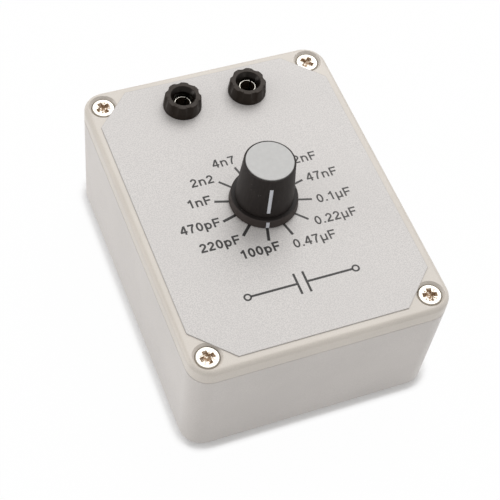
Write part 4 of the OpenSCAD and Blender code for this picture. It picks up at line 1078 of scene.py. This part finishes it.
class BOX_OT_socket_sleeves(bpy.types.Operator):
    """Turns the bright sleeves and saws their slots"""

    bl_idname = "substitution_box.socket_sleeves"
    bl_label = "Socket sleeves"

    def execute(self, context):
        sockets, tones = context.scene.box_sockets, context.scene.box_finishes
        s = in_mm(sockets)
        for side, nose, node in ((-1, s.left_nose, "left_sleeve"), (1, s.right_nose, "right_sleeve")):
            piece = self.sleeve(s, node.replace("_", "_slotted_"), side, nose)
            # Painted shade: each sleeve gets its own brightness of one plating, the right one darker.
            tone = shade(tones.nickel, getattr(tones, node))
            plating = plated(f"nickel_{node}", tone, 0.16, 0.1, 0.15, sockets)
            given(piece, "nickel", node, finish=plating)
        return {"FINISHED"}

    def sleeve(self, s, name, side, nose):
        """One sleeve, its nose at a height above the label."""
        top = LABEL_TOP / MM
        tip, bore_floor = top + nose, top - s.bore_deep
        x, y = centre = (side * s.pitch / 2, s.back)
        outline = [
            (0, s.sleeve_low, 0),
            (s.sleeve_width / 2, s.sleeve_low, s.sleeve_edge),
            (s.sleeve_width / 2, top - s.shoulder, 0),
            (s.nose_width / 2, top - s.shoulder, 0),
            (s.nose_width / 2, tip, s.nose_edge),
            (s.bore / 2, tip, s.mouth),
            (s.bore / 2, bore_floor, 0),
            (0, bore_floor, 0),
        ]
        piece = turned(name, outline, centre, PLAIN, closed=False)
        reach, half = s.sleeve_width / 2 + CLEAR, s.slot_width / 2
        saw = block("saw", (x - reach, y - half, tip - s.slot_deep), (x + reach, y + half, tip + CLEAR))
        turn_mesh(saw, s.slot_turn, centre)
        cut_away(piece, saw)
        smoothed(piece)
        return piece


# Where each screw stands, across and along, and how far it was left turned, in degrees
SCREWS_LEFT_AT = ((-1, 1, 20), (1, 1, 42), (-1, -1, 8), (1, -1, -12))


class BOX_OT_lid_screws(bpy.types.Operator):
    """Turns a lid screw, sinks its cross recess and marks, and sets four, each turned as it was left"""

    bl_idname = "substitution_box.lid_screws"
    bl_label = "Lid screws"

    def execute(self, context):
        screws, tones = context.scene.box_screws, context.scene.box_finishes
        bright = screw_plating(tones.nickel, tones.dirt, screws)
        soiled = dirty_recess(tones.nickel, tones.dirt)
        for i, (across, along, degrees) in enumerate(SCREWS_LEFT_AT):
            piece = self.screw(in_mm(screws), f"lid_screw_{i + 1}", bright, soiled)
            turn_mesh(piece, math.radians(degrees))
            place = (across * screws.across, along * screws.along, 0)
            piece.data.transform(Matrix.Translation(place))
            given(piece, "nickel", "lid_screws", finish=bright)
        return {"FINISHED"}

    def screw(self, s, name, bright, soiled):
        """A screw on the middle axis."""
        top = s.seat + s.head_high
        tip = s.seat - s.shank_length
        shank, head = s.shank_width / 2, s.head_width / 2
        outline = [
            (0, tip, 0),
            (shank - s.tip, tip, 0),
            (shank, tip + s.tip, 0),
            (shank, s.seat, 0),
            (head + s.slope_width, s.seat, s.seat_edge),
            (head + s.slope_width, top - s.slope_deep, s.slope_edge),
            (head, top, s.head_edge),
            (0, top, 0),
        ]
        piece = turned(name, outline, (0, 0), PLAIN, closed=False, round_steps=8)
        piece.data.materials.append(bright)
        arm = (s.arm_span, s.arm_width, top - s.recess_deep, top + s.arm_rise)
        mark = (s.tick_span, s.tick_width, top - s.tick_deep, top + CLEAR)
        tools = [self.wing(s, arm, degrees, soiled, narrowed=True) for degrees in (0, 90)]
        tools += [self.wing(s, mark, degrees, soiled) for degrees in (45, 135)]
        cut_away(piece, *tools)
        smoothed(piece)
        return piece

    def wing(self, s, sizes, degrees, soiled, narrowed=False):
        """A cutter across the head. A narrowed one is smaller at its floor."""
        span, width, low, high = sizes
        tool = block("wing", (-span / 2, -width / 2, low), (span / 2, width / 2, high))
        if narrowed:
            for corner in tool.data.vertices:
                if corner.co.z / MM < (low + high) / 2:
                    corner.co.x *= s.floor_span
                    corner.co.y *= s.floor_width
        tool.data.materials.append(soiled)
        turn_mesh(tool, math.radians(degrees))
        return tool


class BOX_OT_dial_marks(bpy.types.Operator):
    """Prints the twelve marks round the dial"""

    bl_idname = "substitution_box.dial_marks"
    bl_label = "Dial marks"

    def execute(self, context):
        d = in_mm(context.scene.box_dial)
        x, y = centre = dial_centre(context)
        top = LABEL_TOP / MM
        marks = []
        for i in range(d.stops):
            turn = context.scene.box_knob.line_turn - math.tau * i / d.stops
            half = (d.tick_width + max(0.0, math.cos(turn - d.bold_side)) * d.tick_spread) / 2
            mark = block("mark", (x + d.tick_inner, y - half, top), (x + d.tick_outer, y + half, top + d.ink))
            turn_mesh(mark, turn, centre)
            marks.append(mark)
        printed(joined("dial_marks", marks))
        return {"FINISHED"}


# The dial's values: text, middle of the text from the lid's middle and width of its strokes,
# in millimetres
VALUES = (
    ("100pF", -6.65, -16.1, 0.56),
    ("220pF", -15.85, -11.18, 0.54),
    ("470pF", -18.85, -4.52, 0.51),
    ("1nF", -16.45, 2.98, 0.5),
    ("2n2", -13.35, 9.3, 0.47),
    ("4n7", -5.6, 13.75, 0.45),
    ("10nF", 6.8, 13.6, 0.45),
    ("22nF", 14.85, 8.97, 0.45),
    ("47nF", 18.25, 2.37, 0.45),
    ("0.1µF", 18.65, -5.08, 0.45),
    ("0.22µF", 16.45, -11.6, 0.45),
    ("0.47µF", 8.25, -16.83, 0.45),
)


def bow(x, y, across, up, start, end, steps=12):
    """Points along part of an oval, between two directions in degrees."""
    turns = (math.radians(start + (end - start) * i / steps) for i in range(steps + 1))
    return [(x + across * math.cos(t), y + up * math.sin(t)) for t in turns]


# Plain upright characters: how far each advances the line, and its strokes' middle lines,
# in shares of a capital's height
CHARACTERS = {
    "0": (0.78, [bow(0.39, 0.5, 0.235, 0.412, 0, 360, 24)]),
    "1": (0.78, [[(0.47, 0), (0.47, 1)], [(0.44, 0.9), (0.33, 0.78), (0.17, 0.7)]]),
    "2": (
        0.78,
        [
            bow(0.375, 0.675, 0.225, 0.237, 172, -30) + [(0.45, 0.44), (0.2, 0.2), (0.13, 0.07)],
            [(0.06, 0.088), (0.68, 0.088)],
        ],
    ),
    "4": (0.78, [[(0.52, 0), (0.52, 1)], [(0.04, 0.305), (0.71, 0.305)], [(0.47, 0.95), (0.1, 0.3)]]),
    "7": (0.78, [[(0.08, 0.912), (0.69, 0.912)], [(0.62, 0.88), (0.45, 0.62), (0.35, 0.32), (0.31, 0)]]),
    "n": (0.85, [[(0.18, 0), (0.18, 0.725)], bow(0.43, 0.42, 0.24, 0.228, 176, 0) + [(0.67, 0)]]),
    "p": (0.85, [[(0.18, -0.28), (0.18, 0.725)], bow(0.44, 0.36, 0.24, 0.288, 0, 360, 24)]),
    "F": (0.84, [[(0.19, 0), (0.19, 1)], [(0.12, 0.912), (0.79, 0.912)], [(0.12, 0.49), (0.71, 0.49)]]),
    "µ": (
        0.82,
        [
            [(0.17, -0.28), (0.17, 0.725)],
            bow(0.41, 0.3, 0.24, 0.222, 180, 360),
            [(0.65, 0), (0.65, 0.725)],
        ],
    ),
    ".": (0.38, [[(0.1, 0.095), (0.28, 0.095)]]),
}


class BOX_OT_dial_values(bpy.types.Operator):
    """Prints the twelve values round the dial"""

    bl_idname = "substitution_box.dial_values"
    bl_label = "Dial values"

    # How much thicker each stroke of a character is than the last, so that no two lie in one face
    layer = 0.04

    def execute(self, context):
        d = in_mm(context.scene.box_dial)
        stencils = {}
        signs = []
        for text, x, y, stroke in VALUES:
            for sign in text:
                if (sign, stroke) not in stencils:
                    stencils[sign, stroke] = self.character(d, CHARACTERS[sign][1], stroke)
            signs += self.word(d.letter_height, stencils, text, x, y, stroke)
        for stencil in stencils.values():
            bpy.data.objects.remove(stencil)
        printed(joined("dial_values", signs))
        return {"FINISHED"}

    def character(self, d, strokes, width):
        """One character's strokes, joined."""
        parts = []
        for i, stroke in enumerate(strokes):
            points = [Vector((x, y, 0)) * d.letter_height for x, y in stroke]
            parts.append(pen_stroke(points, width, d.ink * (1 + self.layer * i)))
        return joined("character", parts)

    def word(self, scale, stencils, text, x, y, stroke):
        """Copies of the characters side by side, their middle at a place on the label."""
        along = x - sum(CHARACTERS[sign][0] for sign in text) * scale / 2
        made = []
        for sign in text:
            letter = stencils[sign, stroke].copy()
            letter.data = letter.data.copy()
            bpy.context.scene.collection.objects.link(letter)
            place = (along * MM, (y - scale / 2) * MM, LABEL_TOP)
            letter.data.transform(Matrix.Translation(place))
            along += CHARACTERS[sign][0] * scale
            made.append(letter)
        return made


class BOX_OT_circuit_symbol(bpy.types.Operator):
    """Prints a plain capacitor symbol where the label has room below the dial"""

    bl_idname = "substitution_box.circuit_symbol"
    bl_label = "Circuit symbol"

    def execute(self, context):
        d = in_mm(context.scene.box_dial)
        y = -d.symbol_y
        top = LABEL_TOP / MM
        ink = top + d.ink
        plate = d.symbol_gap / 2 + d.symbol_stroke
        end = d.symbol_width / 2
        lead = end - d.symbol_ring / 2 + d.symbol_lap
        hole, ring = d.symbol_hole / 2, d.symbol_ring / 2
        profile = [(hole, top, 0), (ring, top, 0), (ring, ink, 0), (hole, ink, 0)]
        bars = (
            ("plate", d.symbol_gap / 2, plate, d.symbol_plate / 2),
            ("lead", plate, lead, d.symbol_stroke / 2),
        )
        pieces = []
        for side in (-1, 1):
            for name, near, far, half in bars:
                left, right = sorted((side * near, side * far))
                pieces.append(block(name, (left, y - half, top), (right, y + half, ink)))
            pieces.append(turned("end", profile, (side * end, y), RING))
        printed(joined("circuit_symbol", pieces))
        return {"FINISHED"}


# Lamps: name, place and width in metres, and the point that they all shine at
LAMPS = (
    ("key_lamp", (0.34, 0.52, 0.8), 0.78),
    ("side_lamp", (-0.95, 0.34, 0.07), 0.5),
    ("front_lamp", (0.3, -0.95, 0.3), 0.5),
)
LIT_POINT = Vector((0, 0, 0.04))

# Width of the floor and nearest distance that the camera sees, in metres, and the camera's
# sensor, in millimetres
FLOOR = 6
NEAR = 0.01
SENSOR = 36


class BOX_OT_stage(bpy.types.Operator):
    """Sets the floor, the even light, three lamps and the camera"""

    bl_idname = "substitution_box.stage"
    bl_label = "Stage"

    def execute(self, context):
        levels = context.scene.box_stage
        self.floor(levels)
        self.world(context.scene, levels)
        for name, place, width in LAMPS:
            self.lamp(name, place, width, getattr(levels, name))
        self.camera(context.scene, levels)
        context.scene.view_settings.view_transform = "Standard"
        return {"FINISHED"}

    def floor(self, levels):
        """White paper, shaded only close to the case and less at its left."""
        look_at_nothing()
        bpy.ops.mesh.primitive_plane_add(size=FLOOR)
        floor = bpy.context.object
        floor.name = "floor"
        m = Recipe("floor_paper")
        straight, seen = m.rays()
        near = m.node("AmbientOcclusion", {"samples": 8}, {"Distance": levels.contact}, "AO")
        left = m.x.ramp(-33 * MM, -37 * MM)
        shaded = near.ramp(0.96, 0.7) * (0.9 - left * 0.4)
        tint = m.mix(m.noise(2.0, 2.0), (0.9, 0.9, 0.9), (0.94, 0.94, 0.94))
        paper = m.node("BsdfDiffuse", {}, {"Color": tint})
        glow = m.node("Emission", {}, {"Color": WHITE, "Strength": 1.0})
        lift = seen * levels.floor_glow - straight * shaded
        m.end("Material", m.node("MixShader", {}, {0: lift, 1: paper, 2: glow}))
        floor.data.materials.append(m.owner)

    def world(self, scene, levels):
        """Even light that the camera and reflections see as plain white."""
        m = Recipe("studio", "worlds")
        lit = m.node("Background", {}, {"Color": WHITE, "Strength": levels.sky})
        white = m.node("Background", {}, {"Color": WHITE, "Strength": 1.0})
        scene.world = m.end("World", m.node("MixShader", {}, {0: m.rays()[1], 1: lit, 2: white}))

    def lamp(self, name, place, width, power):
        """A round lamp that shines at the box."""
        look_at_nothing()
        bpy.ops.object.light_add(type="AREA", location=place)
        lamp = bpy.context.object
        lamp.name = name
        lamp.data.shape = "DISK"
        lamp.data.size = width
        lamp.data.energy = power
        lamp.rotation_euler = (LIT_POINT - Vector(place)).to_track_quat("-Z", "Y").to_euler()

    def camera(self, scene, levels):
        """The camera, where the photo was taken from."""
        look_at_nothing()
        bpy.ops.object.camera_add(location=levels.eye)
        camera = bpy.context.object
        camera.name = "camera"
        view = (Vector(levels.aim) - Vector(levels.eye)).to_track_quat("-Z", "Y").to_matrix()
        camera.rotation_euler = (view @ Matrix.Rotation(levels.roll, 3, "Z")).to_euler()
        camera.data.sensor_width = SENSOR
        camera.data.lens = levels.lens
        camera.data.clip_start = NEAR
        scene.camera = camera


class BOX_PT_looks(bpy.types.Panel):
    """Lists the pieces of the substitution box and their settings"""

    bl_idname = "BOX_PT_looks"
    bl_label = "Substitution box"
    bl_space_type = "VIEW_3D"
    bl_region_type = "UI"
    bl_category = "Substitution box"

    def draw(self, context):
        for maker in MAKERS:
            self.layout.operator(maker.bl_idname)
        for name in GROUPS:
            group = getattr(context.scene, name)
            box = self.layout.box()
            for key in setting_names(group):
                box.prop(group, key)


GROUPS = {
    "box_knob": KnobSizes,
    "box_sockets": SocketSizes,
    "box_screws": ScrewSizes,
    "box_dial": DialSizes,
    "box_finishes": Finishes,
    "box_stage": StageLevels,
}

MAKERS = (
    BOX_OT_finishes,
    BOX_OT_knob_body,
    BOX_OT_knob_cap,
    BOX_OT_nut_cover,
    BOX_OT_socket_heads,
    BOX_OT_socket_sleeves,
    BOX_OT_lid_screws,
    BOX_OT_dial_marks,
    BOX_OT_dial_values,
    BOX_OT_circuit_symbol,
    BOX_OT_stage,
)


def register():
    """Registers the classes and puts the settings on the scene."""
    for kind in (*GROUPS.values(), *MAKERS, BOX_PT_looks):
        bpy.utils.register_class(kind)
    for name, group in GROUPS.items():
        setattr(bpy.types.Scene, name, bpy.props.PointerProperty(type=group))


def unregister():
    """Takes the settings and the classes away again."""
    for name in GROUPS:
        delattr(bpy.types.Scene, name)
    for kind in reversed((*GROUPS.values(), *MAKERS, BOX_PT_looks)):
        bpy.utils.unregister_class(kind)


def main():
    """Makes every piece."""
    register()
    for maker in MAKERS:
        kind, name = maker.bl_idname.split(".")
        getattr(getattr(bpy.ops, kind), name)()


if __name__ == "__main__":
    main()
